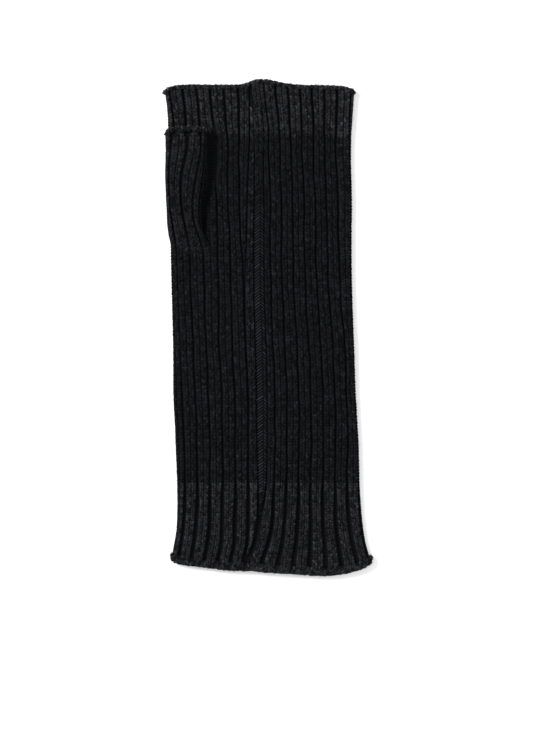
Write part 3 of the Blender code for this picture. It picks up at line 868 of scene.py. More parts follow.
def stitch_tree(name):
    """Geometry nodes that set a leg of yarn on every point, turned and sized by its values."""
    nodes, given = new_tree(name, "GeometryNodeTree", {
        "Places": ("Geometry", None),
        "Arch": ("Float", 0.3),
        "Thickness": ("Float", 1.0),
        "Blunt ends": ("Float", 0.2),
        "Sides": ("Int", 5),
        "Parts along": ("Int", 3),
        "Turn unevenness": ("Float", 0.1),
        "Size unevenness": ("Float", 0.1),
        "Seed": ("Int", 1),
        "Yarn": ("Material", None),
    }, {"Stitches": "Geometry"})
    add, math = nodes.add, nodes.math

    arch = add("ShaderNodeCombineXYZ", X=0.0, Y=0.0, Z=given["Arch"])
    line = add("GeometryNodeCurveQuadraticBezier", Resolution=given["Parts along"],
               Start=(0.0, -0.5, 0.0), Middle=arch, End=(0.0, 0.5, 0.0))
    wave = math("SINE", math("MULTIPLY", add("GeometryNodeSplineParameter"), pi))
    full = math("POWER", math("MAXIMUM", wave, 0.0), 0.6)
    radius = math("MAXIMUM", full, given["Blunt ends"])
    line = add("GeometryNodeSetCurveRadius", Curve=line, Radius=radius)
    profile = add("GeometryNodeCurvePrimitiveCircle", Resolution=given["Sides"],
                  Radius=math("MULTIPLY", given["Thickness"], 0.5))
    leg = add("GeometryNodeCurveToMesh", Curve=line, Profile_Curve=profile, Fill_Caps=True,
              Scale=radius)
    leg = add("GeometryNodeSetShadeSmooth", Geometry=leg)

    def kept(value_name, kind):
        return add("GeometryNodeInputNamedAttribute", {"data_type": kind}, Name=value_name)

    def uneven(amount, seed):
        node = add("FunctionNodeRandomValue", {"data_type": "FLOAT"},
                   n2=math("MULTIPLY", amount, -1.0), n3=amount, Seed=seed)
        return node.outputs[1]

    facing = add("FunctionNodeAxesToRotation", {"primary_axis": "Z", "secondary_axis": "Y"},
                 n0=kept("out", "FLOAT_VECTOR"), n1=kept("along", "FLOAT_VECTOR"))
    turn = math("ADD", kept("lean", "FLOAT"), uneven(given["Turn unevenness"], given["Seed"]))
    spin = add("FunctionNodeAxisAngleToRotation", Axis=(0.0, 0.0, 1.0), Angle=turn)
    turned = add("FunctionNodeRotateRotation", {"rotation_space": "LOCAL"}, Rotation=facing,
                 Rotate_By=spin)
    other_seed = math("ADD", given["Seed"], 7)
    grow = math("ADD", 1.0, uneven(given["Size unevenness"], other_seed))
    stitches = add("GeometryNodeInstanceOnPoints", Points=given["Places"], Instance=leg,
                   Rotation=turned, Scale=nodes.scaled(kept("size", "FLOAT_VECTOR"), grow))
    last = add("GeometryNodeRealizeInstances", Geometry=stitches)
    for value_name in ("out", "along", "lean", "size"):
        last = add("GeometryNodeRemoveAttribute", Geometry=last, Name=value_name)
    dyed = add("GeometryNodeSetMaterial", Geometry=last, Material=given["Yarn"])
    add("NodeGroupOutput", Stitches=dyed)
    return nodes.tree


# ---------------------------------------------------------------- materials

def yarn_group(name):
    """Shader group for melange yarn: twisted plies, soft light and dark stretches, flecks, and
    painted shade at the ends of each leg.
    """
    nodes, given = new_tree(name, "ShaderNodeTree", {
        "Plain yarn": ("Color", (0.01, 0.01, 0.012, 1)),
        "Charcoal yarn": ("Color", (0.02, 0.02, 0.024, 1)),
        "Contrast": ("Float", 0.6),
        "Flecks": ("Float", 0.5),
        "Twist": ("Float", 1.0),
        "Dark ends": ("Float", 0.6),
    }, {"Colour": "Color", "Height": "Float"})
    add, math = nodes.add, nodes.math
    where = add("ShaderNodeTexCoord").outputs["Object"]
    charcoal, tone = (add("ShaderNodeAttribute", {"attribute_name": value}).outputs["Fac"]
                      for value in ("charcoal", "tone"))
    yarn_map = add("ShaderNodeUVMap", {"uv_map": "Yarn"})
    around, along, _ = add("ShaderNodeSeparateXYZ", Vector=yarn_map).outputs

    # How light it is: in soft stretches, with single light fibres, and painted darker at a leg's
    # ends, as painted shade where the yarn dips under its neighbours.
    cloud = nodes.noise(where, 800.0, 3.0, 0.6)
    fibre = nodes.noise(where, 1300.0, 2.0, 0.7)
    toned = math("SUBTRACT", tone, 0.45)
    light = math("MULTIPLY_ADD", math("SUBTRACT", cloud, 0.5), 1.6, toned)
    light = math("MAXIMUM", math("MULTIPLY_ADD", light, given["Contrast"], 1.0), 0.2)
    fleck = math("MULTIPLY", nodes.between(fibre, 0.55, 0.7), given["Flecks"])
    middle = math("ABSOLUTE", math("SINE", math("MULTIPLY", along, pi)))
    ends = math("MULTIPLY_ADD", math("SUBTRACT", middle, 0.85), given["Dark ends"], 1.0)
    light = math("MULTIPLY", math("ADD", light, fleck), math("MAXIMUM", ends, 0.05))

    # Its colour, which drifts between a warmer and a cooler tint.
    base = nodes.mixed(charcoal, given["Plain yarn"], given["Charcoal yarn"])
    drift = nodes.between(nodes.noise(where, 170.0, 2.0, 0.5), 0.4, 0.6)
    hue = nodes.mixed(drift, (1.04, 1.0, 0.965, 1.0), (0.95, 1.01, 1.03, 1.0))
    dyed = add("ShaderNodeVectorMath", {"operation": "MULTIPLY"}, n0=base, n1=hue)

    # Its twisted plies, and its fibres.
    slant = math("MULTIPLY_ADD", along, 5 * pi, math("MULTIPLY", around, 4 * pi))
    ply = math("MULTIPLY", math("ABSOLUTE", math("SINE", slant)), given["Twist"])
    add("NodeGroupOutput", Colour=nodes.scaled(dyed, light),
        Height=math("MULTIPLY_ADD", fibre, 0.8, ply))
    return nodes.tree


def purl_group(name):
    """Shader group for the backs of the stitches: a low bump in every course of every wale."""
    nodes, given = new_tree(name, "ShaderNodeTree", {"Depth": ("Float", 1.0)}, {"Height": "Float"})
    math = nodes.math
    knit_map = nodes.add("ShaderNodeUVMap", {"uv_map": "Knit"})
    across, along, _ = nodes.add("ShaderNodeSeparateXYZ", Vector=knit_map).outputs
    bowed = math("MULTIPLY_ADD", math("SINE", math("MULTIPLY", across, pi)), 0.25, along)
    ladder = math("ABSOLUTE", math("SINE", math("MULTIPLY", bowed, pi)))
    nodes.add("NodeGroupOutput", Height=math("MULTIPLY", ladder, given["Depth"]))
    return nodes.tree


def new_material(name, first=0):
    """A material, its nodes and its shader."""
    material = bpy.data.materials.new(name)
    material.use_nodes = True
    tree = material.node_tree
    return material, Nodes(tree, first), tree.nodes["Principled BSDF"]


def make_yarn(name, plain_times, purl, **settings):
    """Soft, dull knitting yarn, near black or charcoal where its stitches say so.

    With purl, it is for the cloth between the stitches and has the bumps of their backs, with
    painted shade in the dips between them and painted light on their tops.
    """
    colours = bpy.context.scene.arm_warmer_yarn
    material, nodes, shader = new_material(name, -4)
    melange = shared(bpy.data.node_groups, "Melange yarn", yarn_group)
    plain = (*(plain_times * part for part in colours.plain), 1.0)
    colour, height = nodes.add("ShaderNodeGroup", {"node_tree": melange}, Plain_yarn=plain,
                               Charcoal_yarn=(*colours.charcoal, 1.0), **settings).outputs
    if purl:
        bumps = nodes.add("ShaderNodeGroup", {
            "node_tree": shared(bpy.data.node_groups, "Purl bumps", purl_group)}, Depth=1.0)
        height = nodes.math("MULTIPLY_ADD", bumps, 2.2, height)
        # Painted shade and light: darker in the purl bumps' dips and lighter on their tops.
        colour = nodes.scaled(colour, nodes.math("MULTIPLY_ADD", bumps, 0.9, 0.45))
    bump = nodes.add("ShaderNodeBump", Height=height, Distance=0.00018, Strength=0.8)
    nodes.wire(shader, Base_Color=colour, Normal=bump, Roughness=0.92, Specular_IOR_Level=0.08,
               Sheen_Weight=colours.sheen, Sheen_Roughness=0.55,
               Sheen_Tint=(*colours.sheen_tint, 1.0))
    return material


def stitch_yarn():
    """Yarn for the stitches themselves."""
    return shared(bpy.data.materials, "Knitted yarn", lambda name: make_yarn(
        name, 1.0, False, Contrast=1.6, Flecks=4.4, Twist=1.0, Dark_ends=1.1))


def ground_yarn():
    """Darker yarn for the cloth between the stitches."""
    return shared(bpy.data.materials, "Yarn between the stitches", lambda name: make_yarn(
        name, 1.75, True, Contrast=0.6, Flecks=0.3, Twist=0.2, Dark_ends=0.0))


# ---------------------------------------------------------------- stitches

Stitches = namedtuple("Stitches", "place out along lean size tone charcoal chart")


def stitch_column(number, spots, lean, size, tone, charcoal, keep=slice(None)):
    """Stitches in one column of the chart, their backs at the spots. Keep says which are there."""
    point, out, along = spots
    lift = 0.5 + 0.5 * bpy.context.scene.arm_warmer_knitting.arch
    every = np.ones(len(point))
    size = np.stack([part * every for part in size], axis=1)
    chart = np.stack([number * every, np.arange(len(point))], axis=1)
    column = Stitches(point - out * (lift * size[:, 2:]), out, along, lean * every, size, tone,
                      charcoal * every, chart)
    return Stitches(*(values[keep] for values in column))


def join_stitches(parts):
    """One set of stitches from several."""
    return Stitches(*(np.concatenate(values) for values in zip(*parts)))


def knit(name, slot, stitches, chart_size, sides, parts_along=3, changes=None):
    """Turns stitch places into a piece of yarn legs, with the map that its colours are kept in."""
    knitting = bpy.context.scene.arm_warmer_knitting
    tree = shared(bpy.data.node_groups, "Knitted stitches", stitch_tree)
    places = bpy.data.meshes.new(name + "_places")
    places.from_pydata((stitches.place * MM).tolist(), [], [])
    for field in ("out", "along", "size"):
        values = getattr(stitches, field) * (MM if field == "size" else 1)
        places.attributes.new(field, "FLOAT_VECTOR", "POINT").data.foreach_set(
            "vector", values.ravel())
    for field in ("lean", "tone", "charcoal"):
        set_values(places, field, getattr(stitches, field))
    holder = add_piece(name + "_places", places)
    modifier = holder.modifiers.new("Stitches", "NODES")
    modifier.node_group = tree
    values = {
        "Arch": knitting.arch, "Blunt ends": knitting.blunt_ends, "Sides": sides,
        "Parts along": parts_along, "Turn unevenness": knitting.turn_unevenness,
        "Size unevenness": knitting.size_unevenness, "Seed": knitting.seed, "Yarn": stitch_yarn(),
        **(changes or {}),
    }
    for item in tree.interface.items_tree:
        if item.name in values:
            modifier[item.identifier] = values[item.name]
    depsgraph = bpy.context.evaluated_depsgraph_get()
    mesh = bpy.data.meshes.new_from_object(holder.evaluated_get(depsgraph))
    bpy.data.objects.remove(holder)
    bpy.data.meshes.remove(places)
    mesh.name = name
    points = np.zeros(3 * len(mesh.vertices), dtype=np.float32)
    mesh.vertices.foreach_get("co", points)
    points[2::3] = np.maximum(points[2::3], 0.05 * MM)      # the floor flattens what rests on it
    mesh.vertices.foreach_set("co", points)
    map_legs(mesh, stitches.chart, chart_size, sides, parts_along + 1)
    put_on(add_piece(name, mesh))


def map_legs(mesh, chart, chart_size, sides, rings):
    """Lays every leg out flat in its own cell of the chart, and maps the yarn along it.

    A leg's sides take up the middle of its cell and its two end caps the strips before and after.
    """
    legs = len(chart)
    if len(mesh.vertices) != legs * sides * rings:
        raise RuntimeError(f"{mesh.name}: {len(mesh.vertices)} points for {legs} legs")
    corners = np.zeros(len(mesh.loops), dtype=np.int32)
    mesh.loops.foreach_get("vertex_index", corners)
    each = len(corners) // legs
    totals = np.zeros(len(mesh.polygons), dtype=np.int32)
    mesh.polygons.foreach_get("loop_total", totals)
    corner = corners[:each] % (sides * rings)
    around, along = corner % sides / sides, corner // sides / (rings - 1)
    start = 0
    for total in totals[: len(totals) // legs]:
        face = slice(start, start + total)
        start += total
        ring = along[face]
        if total == sides and np.ptp(ring) == 0:        # an end cap
            at = 0.06 if ring[0] == 0 else 0.94
            turn = 2 * pi * around[face]
            around[face], along[face] = 0.5 + 0.3 * np.cos(turn), at + 0.04 * np.sin(turn)
        else:
            if around[face].max() - around[face].min() > 0.5:
                around[face] = np.where(around[face] < 0.5 / sides, 1.0, around[face])
            along[face] = 0.12 + 0.76 * ring
    spot = np.tile(np.stack([around, along], axis=1), (legs, 1))
    cell = np.repeat(chart, each, axis=0)
    set_map(mesh, "OFBake", (cell + 0.06 + 0.88 * spot) / np.array(chart_size))
    set_map(mesh, "Yarn", spot)


def course_levels(bottom, top):
    """The level of every knitted row, which are closer together in the band at the arm."""
    knitting = bpy.context.scene.arm_warmer_knitting
    levels = [bottom + 0.5]
    while levels[-1] < top - 0.4:
        pitch = knitting.band_row if levels[-1] < BAND_BOTTOM_LEVEL else knitting.row
        levels.append(levels[-1] + pitch / MM)
    return np.array(levels)


def hand_courses():
    """The levels of the tube's courses, which the thumb's follow."""
    return course_levels(TUBE_BOTTOM - 1.0, TUBE_TOP + 0.6)


def band_shares(levels):
    """How far each level lies in one of the charcoal bands, from 0 to 1."""
    upper = ease(levels, BAND_TOP_LEVEL - 0.6, BAND_TOP_LEVEL + 0.6)
    lower = 1 - ease(levels, BAND_BOTTOM_LEVEL - 0.6, BAND_BOTTOM_LEVEL + 0.6)
    return np.maximum(upper, lower)


def thumb_charcoal(levels):
    """How far the thumb's yarn is charcoal: a little more so towards its open end."""
    return 0.42 + 0.1 * ease(levels, THUMB_BAND_LEVEL - 3, THUMB_BAND_LEVEL + 3)


def yarn_tones(rows, columns, seed):
    """How light each stitch's stretch of yarn is, from 0 to 1, running on along each row.

    About one stitch in twelve is a lighter fleck beyond that.
    """
    chance = np.random.default_rng(seed)
    single = chance.random((rows, columns))
    runs = chance.random((rows, columns + 8))
    kernel = np.array([0.2, 0.3, 0.3, 0.2])
    runs = np.stack([np.convolve(row, kernel, "same")[4:-4] for row in runs])
    row_tone = chance.random((rows, 1))
    plain = 0.48 + 1.3 * (single - 0.5) + 0.45 * (runs - 0.5) + 0.1 * (row_tone - 0.5)
    return np.clip(plain, 0, 1) + 1.1 * (chance.random((rows, columns)) > 0.92)


def rib_stitches(form, levels, courses, cells, charcoal, seed, fill, bright):
    """The legs of the ribs in these cells, a V over each wale in every course."""
    lean = bpy.context.scene.arm_warmer_knitting.lean
    rows = np.interp(courses, levels, np.arange(len(levels)))
    tones = yarn_tones(len(courses), len(LEGS) * len(cells), seed)
    pitch = np.gradient(courses)
    marks = [*RIB_STEPS, 1.0]
    parts = []
    for number, cell in enumerate(cells):
        widths = np.interp(rows, np.arange(len(levels)), form.widths[:, cell])
        two = widths >= TWO_WALES_FROM
        wide = widths * fill * np.where(two, LEG_WIDTH, SINGLE_LEG_WIDTH)
        wide = np.maximum(wide, LEAST_LEG_WIDTH)
        thick = np.clip(LEG_THICKNESS * wide, *LEG_THICKNESSES)
        for leg_number, leg in enumerate(LEGS, len(LEGS) * number):
            share = 0.5 + fill * np.where(two, leg.share, leg.single_share)
            column = cell * len(RIB_STEPS) + np.interp(share, marks, range(len(marks)))
            spots = form.spots(rows, column)[:3]
            reach = np.linalg.norm(np.gradient(spots[0], axis=0), axis=1)
            long = LEG_LENGTH * np.clip(reach, *(pitch * stretch for stretch in STRETCHES))
            # Each cell is lighter or darker by its table entry, which is mostly painted light and
            # shade.
            tone = tones[:, leg_number] * (1 + bright.get(cell, 0.0))
            keep = (widths > LEAST_CELL) & (two | (leg.single_lean != 0))
            parts.append(stitch_column(
                leg_number, spots, np.where(two, leg.lean, leg.single_lean) * lean,
                (wide, long, thick), tone, charcoal, keep))
    return join_stitches(parts), (len(LEGS) * len(cells), len(courses))


def seam_stitches(form, levels, courses, seed):
    """Slanting strokes, long on the left and short on the right, and four plain legs a row above
    CHEVRON_TOP."""
    rows = np.interp(courses, levels, np.arange(len(levels)))
    lower = courses < CHEVRON_TOP
    fit = np.interp(rows, np.arange(len(levels)), form.widths) / SEAM_WIDTH
    # The strokes are lightest between the band at the arm and where they near their upper end: a
    # painted highlight where the slanting strokes catch the light.
    strength = ease(courses, BAND_BOTTOM_LEVEL - 8, BAND_BOTTOM_LEVEL + 6)
    shining = strength * (1 - 0.7 * ease(courses, CHEVRON_TOP - 18, CHEVRON_TOP))
    strokes = [
        # rows, share across the band, lean in degrees, width and length in millimetres, lightness
        # from painted highlight
        (lower, 0.35, -52, 0.66, 3.8 * fit, 3.2),
        (lower, 0.84, 46, 0.66, 2.6 * fit, 2.6),
        *((~lower, share, lean, 1.25 * fit, 2.8, 0.0)
          for share, lean in ((0.12, 24), (0.37, -24), (0.63, 24), (0.88, -24))),
    ]
    tones = yarn_tones(len(courses), len(strokes), seed)
    parts = []
    for number, (shown, share, lean, wide, long, light) in enumerate(strokes):
        spots = form.spots(rows, np.full(len(rows), share * SEAM_COLUMNS))[:3]
        vivid = 2.6 if light else 1.0
        tone = 0.55 + vivid * (tones[:, number] - 0.55) + light * shining - 0.5 * (1 - strength)
        parts.append(stitch_column(number, spots, radians(lean), (wide, long, SEAM_STITCH), tone,
                                   band_shares(courses), shown))
    return join_stitches(parts), (len(strokes), len(courses))


def edge_stitches(form, edge, seed):
    """Rows of stitches lying over a roll: a leg every pitch in each, leaning to and fro."""
    steps = np.linalg.norm(np.diff(form.points.mean(axis=1), axis=0), axis=1)
    way = np.concatenate([[0.0], np.cumsum(steps)])
    count = 2 * int(way[-1] / EDGE_PITCH / 2)
    rows = np.interp(np.arange(count) * way[-1] / count, way, np.arange(len(way)))
    lean = radians(EDGE_LEAN) * np.where(np.arange(count) % 2, 1, -1)
    parts = []
    for number, (turn, light) in enumerate(edge.bands):
        tone = 2.2 * yarn_tones(1, count, seed + number)[0] - 0.65
        column = np.full(count, (EDGE_SIDES * turn * edge.inwards / 360.0) % EDGE_SIDES)
        point, out, _, across = form.spots(rows, column)
        if edge.join is not None:
            off = point[:, 0] - edge.join
            tone = tone - 0.4 * (off < 0) - 0.8 * (np.abs(off) < 0.8)
        # Each band is lighter or darker by its share of painted light and shade round the roll.
        parts.append(stitch_column(number, (point, out, across), lean,
                                   (0.9 * EDGE_PITCH, edge.leg, EDGE_STITCH), tone + light,
                                   edge.charcoal))
    return join_stitches(parts), (len(edge.bands), count)


def loose_fibres(form, count, chance, columns, standing):
    """Short fibres with both ends in the knitting or, for a share of them, standing out of it."""
    rows = chance.uniform(0.5, len(form.points) - 1.5, count)
    point, out, along = form.spots(rows, chance.uniform(0, columns, count))[:3]
    turn = chance.uniform(0, 2 * pi, (count, 1))
    flat = along * np.cos(turn) + np.cross(along, out) * np.sin(turn)
    upright = (chance.random((count, 1)) < standing) * chance.uniform(0.5, 1.4, (count, 1))
    size = np.repeat(chance.uniform(*FIBRE_LENGTHS, (count, 1)), 3, axis=1)
    none = np.zeros(count)
    fibres = Stitches(point, unit(out - flat * upright), unit(flat + out * upright), none, size,
                      0.6 + chance.random(count), none + 0.6, np.zeros((count, 2)))
    keep = point[:, 2] > FIBRES_FROM
    return Stitches(*(values[keep] for values in fibres))


# ---------------------------------------------------------------- settings

class KnittingSizes(PropertyGroup):
    """Sizes of the stitches."""

    row: FloatProperty(
        name="Row height", description="Height of one knitted row of the hand",
        default=1.73 * MM, min=0.0005, unit="LENGTH")
    band_row: FloatProperty(
        name="Band row height", description="Height of one knitted row of the band at the arm",
        default=1.54 * MM, min=0.0005, unit="LENGTH")
    lean: FloatProperty(
        name="Lean", description="How far the two legs of a stitch lean apart",
        default=radians(25), subtype="ANGLE")
    arch: FloatProperty(
        name="Arch", description="How far a leg's middle stands over its ends, in thicknesses",
        default=0.8, min=0.0)
    blunt_ends: FloatProperty(
        name="Blunt ends", description="Width of a leg's ends against its middle",
        default=0.3, min=0.0, max=1.0, subtype="FACTOR")
    turn_unevenness: FloatProperty(
        name="Turn unevenness", description="How far single legs are turned at random",
        default=radians(5), subtype="ANGLE")
    size_unevenness: FloatProperty(
        name="Size unevenness", description="How far single legs differ in size",
        default=0.08, min=0.0, max=0.5, subtype="FACTOR")
    fibres: IntProperty(
        name="Loose fibres", description="Number of loose fibres on hand and arm",
        default=3200, min=0)
    seed: IntProperty(name="Seed", description="Start of the random numbers", default=4)


class YarnColours(PropertyGroup):
    """Colours of the yarns."""

    plain: FloatVectorProperty(
        name="Plain yarn", description="The near-black yarn of the hand",
        default=(0.0028, 0.0030, 0.0037), size=3, min=0.0, max=1.0, subtype="COLOR")
    charcoal: FloatVectorProperty(
        name="Charcoal yarn", description="The lighter yarn of the bands at both ends",
        default=(0.0073, 0.0075, 0.0085), size=3, min=0.0, max=1.0, subtype="COLOR")
    sheen: FloatProperty(
        name="Nap", description="How much the yarn's fine fibres catch the light",
        default=0.02, min=0.0, max=1.0, subtype="FACTOR")
    sheen_tint: FloatVectorProperty(
        name="Nap colour", description="Colour of the fine fibres",
        default=(0.5, 0.5, 0.54), size=3, min=0.0, max=1.0, subtype="COLOR")


class StageSettings(PropertyGroup):
    """The floor, the lights and the camera over the garment."""

    floor_size: FloatProperty(
        name="Floor", description="Width of the floor", default=6.0, min=1.0, unit="LENGTH")
    floor_colour: FloatVectorProperty(
        name="Floor colour", description="Colour of the floor",
        default=(0.86, 0.86, 0.865), size=3, min=0.0, max=1.0, subtype="COLOR")
    floor_glow: FloatProperty(
        name="Floor glow", description="Light that comes up through the floor, as on a light table",
        default=0.35, min=0.0)
    camera_height: FloatProperty(
        name="Camera height", description="Height of the camera over the floor",
        default=1.7, min=0.3, unit="LENGTH")
    view_height: FloatProperty(
        name="View height", description="Length of floor that the picture's height takes in",
        default=0.4059, min=0.1, unit="LENGTH")
    view_centre: FloatVectorProperty(
        name="View centre", description="Where on the floor the picture's centre lies",
        default=(-0.00047, -0.0228), size=2, unit="LENGTH")
    sky: FloatProperty(
        name="Sky", description="Strength of the even light from all sides", default=0.55, min=0.0)
    key: FloatProperty(
        name="Key light", description="Power of the large light at the upper left",
        default=42.0, min=0.0)
    fill: FloatProperty(
        name="Fill light", description="Power of the light at the right", default=8.0, min=0.0)


# ---------------------------------------------------------------- operators

class ARMWARMER_OT_knit_hand(Operator):
    """Knits the tube over hand and arm: its plain fabric and its ribs' stitches"""

    bl_idname = "arm_warmer.knit_hand"
    bl_label = "Knit hand and arm"

    def execute(self, context):
        form, ground, inner, levels = tube_form()
        courses = hand_courses()
        # The cloth in the furrows is charcoal in the upper band, and painted darker in the crease
        # beside the
        # thumb: painted shade where the thumb shades the palm.
        charcoal = band_shares(levels) * np.where(levels > 0, 0.8, 0.1)
        palm = PALM_CELLS * len(RIB_STEPS)
        tone = np.zeros(ground.shape[:2])
        for row, level in enumerate(levels):
            tone[row, :palm] = -0.16 * crease_depth(level, ground[row, :palm, 0])
        shell("hand_tube", "ribbed_tube", ground, inner, charcoal[:, None], tone, len(courses))

        back_middle = PALM_CELLS + 9
        sides = {
            "palm_ribs_left": (range(SEAM_CELL), 5),
            "palm_ribs_right": (range(SEAM_CELL + 1, PALM_CELLS), 5),
            "back_ribs_right": (range(PALM_CELLS, back_middle), 4),
            "back_ribs_left": (range(back_middle, PALM_CELLS + BACK_RIBS), 4),
        }
        for seed, (name, (cells, around)) in enumerate(sides.items(),
                                                       context.scene.arm_warmer_knitting.seed):
            stitches = rib_stitches(form, levels, courses, cells, band_shares(courses), seed,
                                    rib_fill(courses), HAND_TONES_AND_PAINTED_LIGHT)
            knit(name, "body_yarn", *stitches, around)
        return {"FINISHED"}


class ARMWARMER_OT_knit_thumb(Operator):
    """Knits the thumb on the palm"""

    bl_idname = "arm_warmer.knit_thumb"
    bl_label = "Knit thumb"

    def execute(self, context):
        form, ground, inner, levels = thumb_form()
        courses = hand_courses()
        courses = courses[(courses > THUMB_SECTIONS[0].y) & (courses < THUMB_TOP + 1.6)]
        # The cloth is painted darker towards the open end: painted shade where it runs in under the
        # rolled edge.
        tone = -0.7 * ease(levels, THUMB_TOP - 6.0, THUMB_TOP - 1.0)     # darker at its open end
        shell("thumb_cloth", "thumb_tube", ground, inner, thumb_charcoal(levels)[:, None],
              tone[:, None], len(courses))
        cells = [0, 1, 2, 3, 2 + THUMB_BACK_RIBS]       # the front, and its two side folds
        stitches = rib_stitches(form, levels, courses, cells, thumb_charcoal(courses),
                                context.scene.arm_warmer_knitting.seed + 20, thumb_fill(courses),
                                THUMB_PAINTED_LIGHT_AND_SHADE)
        knit("thumb_ribs", "body_yarn", *stitches, 5)
        return {"FINISHED"}


class ARMWARMER_OT_sew_seam(Operator):
    """Sews the palm seam: a band of slanting stitches in the groove between two ribs"""

    bl_idname = "arm_warmer.sew_seam"
    bl_label = "Sew palm seam"

    def execute(self, context):
        form, under, levels = seam_form()
        rows = len(levels)
        points = np.concatenate([form.points - (0.0, 0.0, 0.35), under[:, ::-1]], axis=1)
        ring = points.shape[1]
        ends = [list(range(ring))[::-1], [(rows - 1) * ring + i for i in range(ring)]]
        turn = 2 * pi * np.arange(ring) / ring
        cap = np.stack([0.5 + 0.4 * np.cos(turn), 0.01 + 0.008 * np.sin(turn)], axis=1)
        sides = grid_map(rows - 1, ring) * (1.0, 0.96) + (0.0, 0.02)
        places = np.concatenate([sides.reshape(-1, 2), cap[::-1], cap + (0.0, 0.98)])
        # The cloth under the strokes is painted darker: painted shade in the seam's groove.
        fabric("seam_band", "palm_seam", points,
               quads(numbered(rows, ring)).tolist() + ends,
               {"charcoal": band_shares(levels)[:, None], "tone": -0.8}, places,
               (2.0 * ring / SEAM_COLUMNS, rows))
        courses = course_levels(SEAM_BOTTOM, TUBE_TOP)
        stitches = seam_stitches(form, levels, courses,
                                 context.scene.arm_warmer_knitting.seed + 40)
        knit("seam_stitches", "seam_yarn", *stitches, 5, 4)
        return {"FINISHED"}


class ARMWARMER_OT_bind_edges(Operator):
    """Binds off the finger end and the thumb, and rolls the welt at the arm end"""

    bl_idname = "arm_warmer.bind_edges"
    bl_label = "Bind edges"

    def execute(self, context):
        seed = context.scene.arm_warmer_knitting.seed + 60
        uneven = {"Turn unevenness": radians(16), "Size unevenness": 0.24}
        for step, (name, edge) in enumerate(EDGES.items()):
            form = edge_form(edge)
            middle = form.points.mean(axis=1, keepdims=True)
            core = middle + (form.points - middle) * (1 - EDGE_STITCH / edge.size[1])
            bead(name + "_roll", name + "_edge", core, edge.charcoal)
            knit(name + "_loops", "border_yarn", *edge_stitches(form, edge, seed + step), 5,
                 changes=uneven)
        return {"FINISHED"}


class ARMWARMER_OT_raise_nap(Operator):
    """Raises a nap of short loose fibres over the knitting and round its outline"""

    bl_idname = "arm_warmer.raise_nap"
    bl_label = "Raise nap"

    def execute(self, context):
        knitting = context.scene.arm_warmer_knitting
        chance = np.random.default_rng(knitting.seed + 90)
        hand, thumb = tube_form()[0], thumb_form()[0]
        parts = [
            loose_fibres(hand, knitting.fibres, chance, hand.points.shape[1], 0.5),
            loose_fibres(thumb, knitting.fibres // 14, chance, 3 * len(RIB_STEPS), 0.5),
        ]
        for edge in (EDGES["finger"], EDGES["arm"], EDGES["thumb"]):
            parts.append(loose_fibres(edge_form(edge), knitting.fibres // edge.fibres, chance,
                                      EDGE_SIDES, 0.8))
        fibres = join_stitches(parts)
        side = int(np.ceil(len(fibres.tone) ** 0.5))
        order = np.arange(len(fibres.tone))
        fibres = fibres._replace(chart=np.stack([order % side, order // side], axis=1))
        knit("nap", "body_yarn", fibres, (side, side), 3, 4,
             {"Arch": 0.5, "Thickness": FIBRE_THICKNESS})
        return {"FINISHED"}


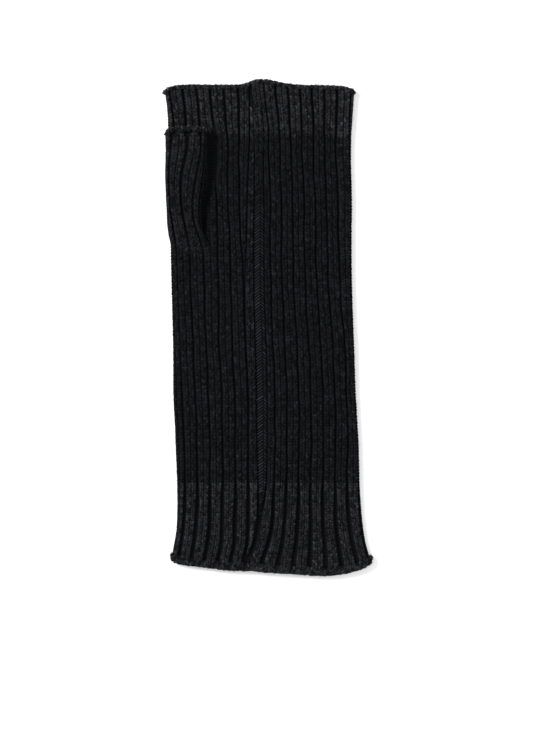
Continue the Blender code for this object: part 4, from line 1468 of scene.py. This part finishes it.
class ARMWARMER_OT_set_stage(Operator):
    """Lays the floor, sets the lights and hangs the camera over the garment"""

    bl_idname = "arm_warmer.set_stage"
    bl_label = "Set stage"

    def execute(self, context):
        settings = context.scene.arm_warmer_stage
        half = settings.floor_size / 2
        mesh = bpy.data.meshes.new("floor")
        mesh.from_pydata([(-half, -half, 0), (half, -half, 0), (half, half, 0), (-half, half, 0)],
                         [], [(0, 1, 2, 3)])
        floor = add_piece("floor", mesh)
        material, nodes, shader = new_material("Pale floor")
        nodes.wire(shader, Base_Color=(*settings.floor_colour, 1.0), Roughness=0.9,
                   Specular_IOR_Level=0.1, Emission_Color=(1.0, 1.0, 1.0, 1.0),
                   Emission_Strength=settings.floor_glow)
        mesh.materials.append(material)

        camera = bpy.data.cameras.new("camera")
        camera.sensor_fit = "VERTICAL"
        camera.sensor_height = 36.0
        camera.lens = camera.sensor_height * settings.camera_height / settings.view_height
        view = add_piece("camera", camera)
        view.location = (*settings.view_centre, settings.camera_height + PALM_TOP * MM)
        context.scene.camera = view

        world = bpy.data.worlds.new("studio")
        world.use_nodes = True
        Nodes(world.node_tree).wire(world.node_tree.nodes["Background"],
                                    Color=(1.0, 1.0, 1.0, 1.0), Strength=settings.sky)
        context.scene.world = world
        for name, power, place in (
            ("key", settings.key, (-1.3, 0.7, 1.35)),
            ("fill", settings.fill, (1.5, 0.1, 1.1)),
        ):
            lamp = bpy.data.lights.new(name, "AREA")
            lamp.shape = "DISK"
            lamp.size = 0.8
            lamp.energy = power
            light = add_piece(name, lamp)
            light.location = place
            light.rotation_euler = (-light.location).to_track_quat("-Z", "Y").to_euler()
        context.scene.view_settings.view_transform = "Standard"
        return {"FINISHED"}


class ARMWARMER_PT_panel(Panel):
    """The arm warmer's steps and settings in the sidebar"""

    bl_idname = "ARMWARMER_PT_panel"
    bl_label = "Arm warmer"
    bl_space_type = "VIEW_3D"
    bl_region_type = "UI"
    bl_category = "Arm warmer"

    def draw(self, context):
        for operator in OPERATORS:
            self.layout.operator(operator.bl_idname)
        for group in SETTINGS:
            settings = getattr(context.scene, group)
            box = self.layout.box()
            for name in settings.bl_rna.properties.keys():
                if name not in ("rna_type", "name"):
                    box.prop(settings, name)


OPERATORS = [
    ARMWARMER_OT_knit_hand,
    ARMWARMER_OT_knit_thumb,
    ARMWARMER_OT_sew_seam,
    ARMWARMER_OT_bind_edges,
    ARMWARMER_OT_raise_nap,
    ARMWARMER_OT_set_stage,
]
SETTINGS = {
    "arm_warmer_knitting": KnittingSizes,
    "arm_warmer_yarn": YarnColours,
    "arm_warmer_stage": StageSettings,
}
CLASSES = [*SETTINGS.values(), *OPERATORS, ARMWARMER_PT_panel]


def register():
    for group in CLASSES:
        bpy.utils.register_class(group)
    for name, group in SETTINGS.items():
        setattr(bpy.types.Scene, name, PointerProperty(type=group))


def unregister():
    for name in SETTINGS:
        delattr(bpy.types.Scene, name)
    for group in reversed(CLASSES):
        bpy.utils.unregister_class(group)


def main():
    register()
    bpy.ops.arm_warmer.knit_hand()
    bpy.ops.arm_warmer.knit_thumb()
    bpy.ops.arm_warmer.sew_seam()
    bpy.ops.arm_warmer.bind_edges()
    bpy.ops.arm_warmer.raise_nap()
    bpy.ops.arm_warmer.set_stage()


if __name__ == "__main__":
    main()
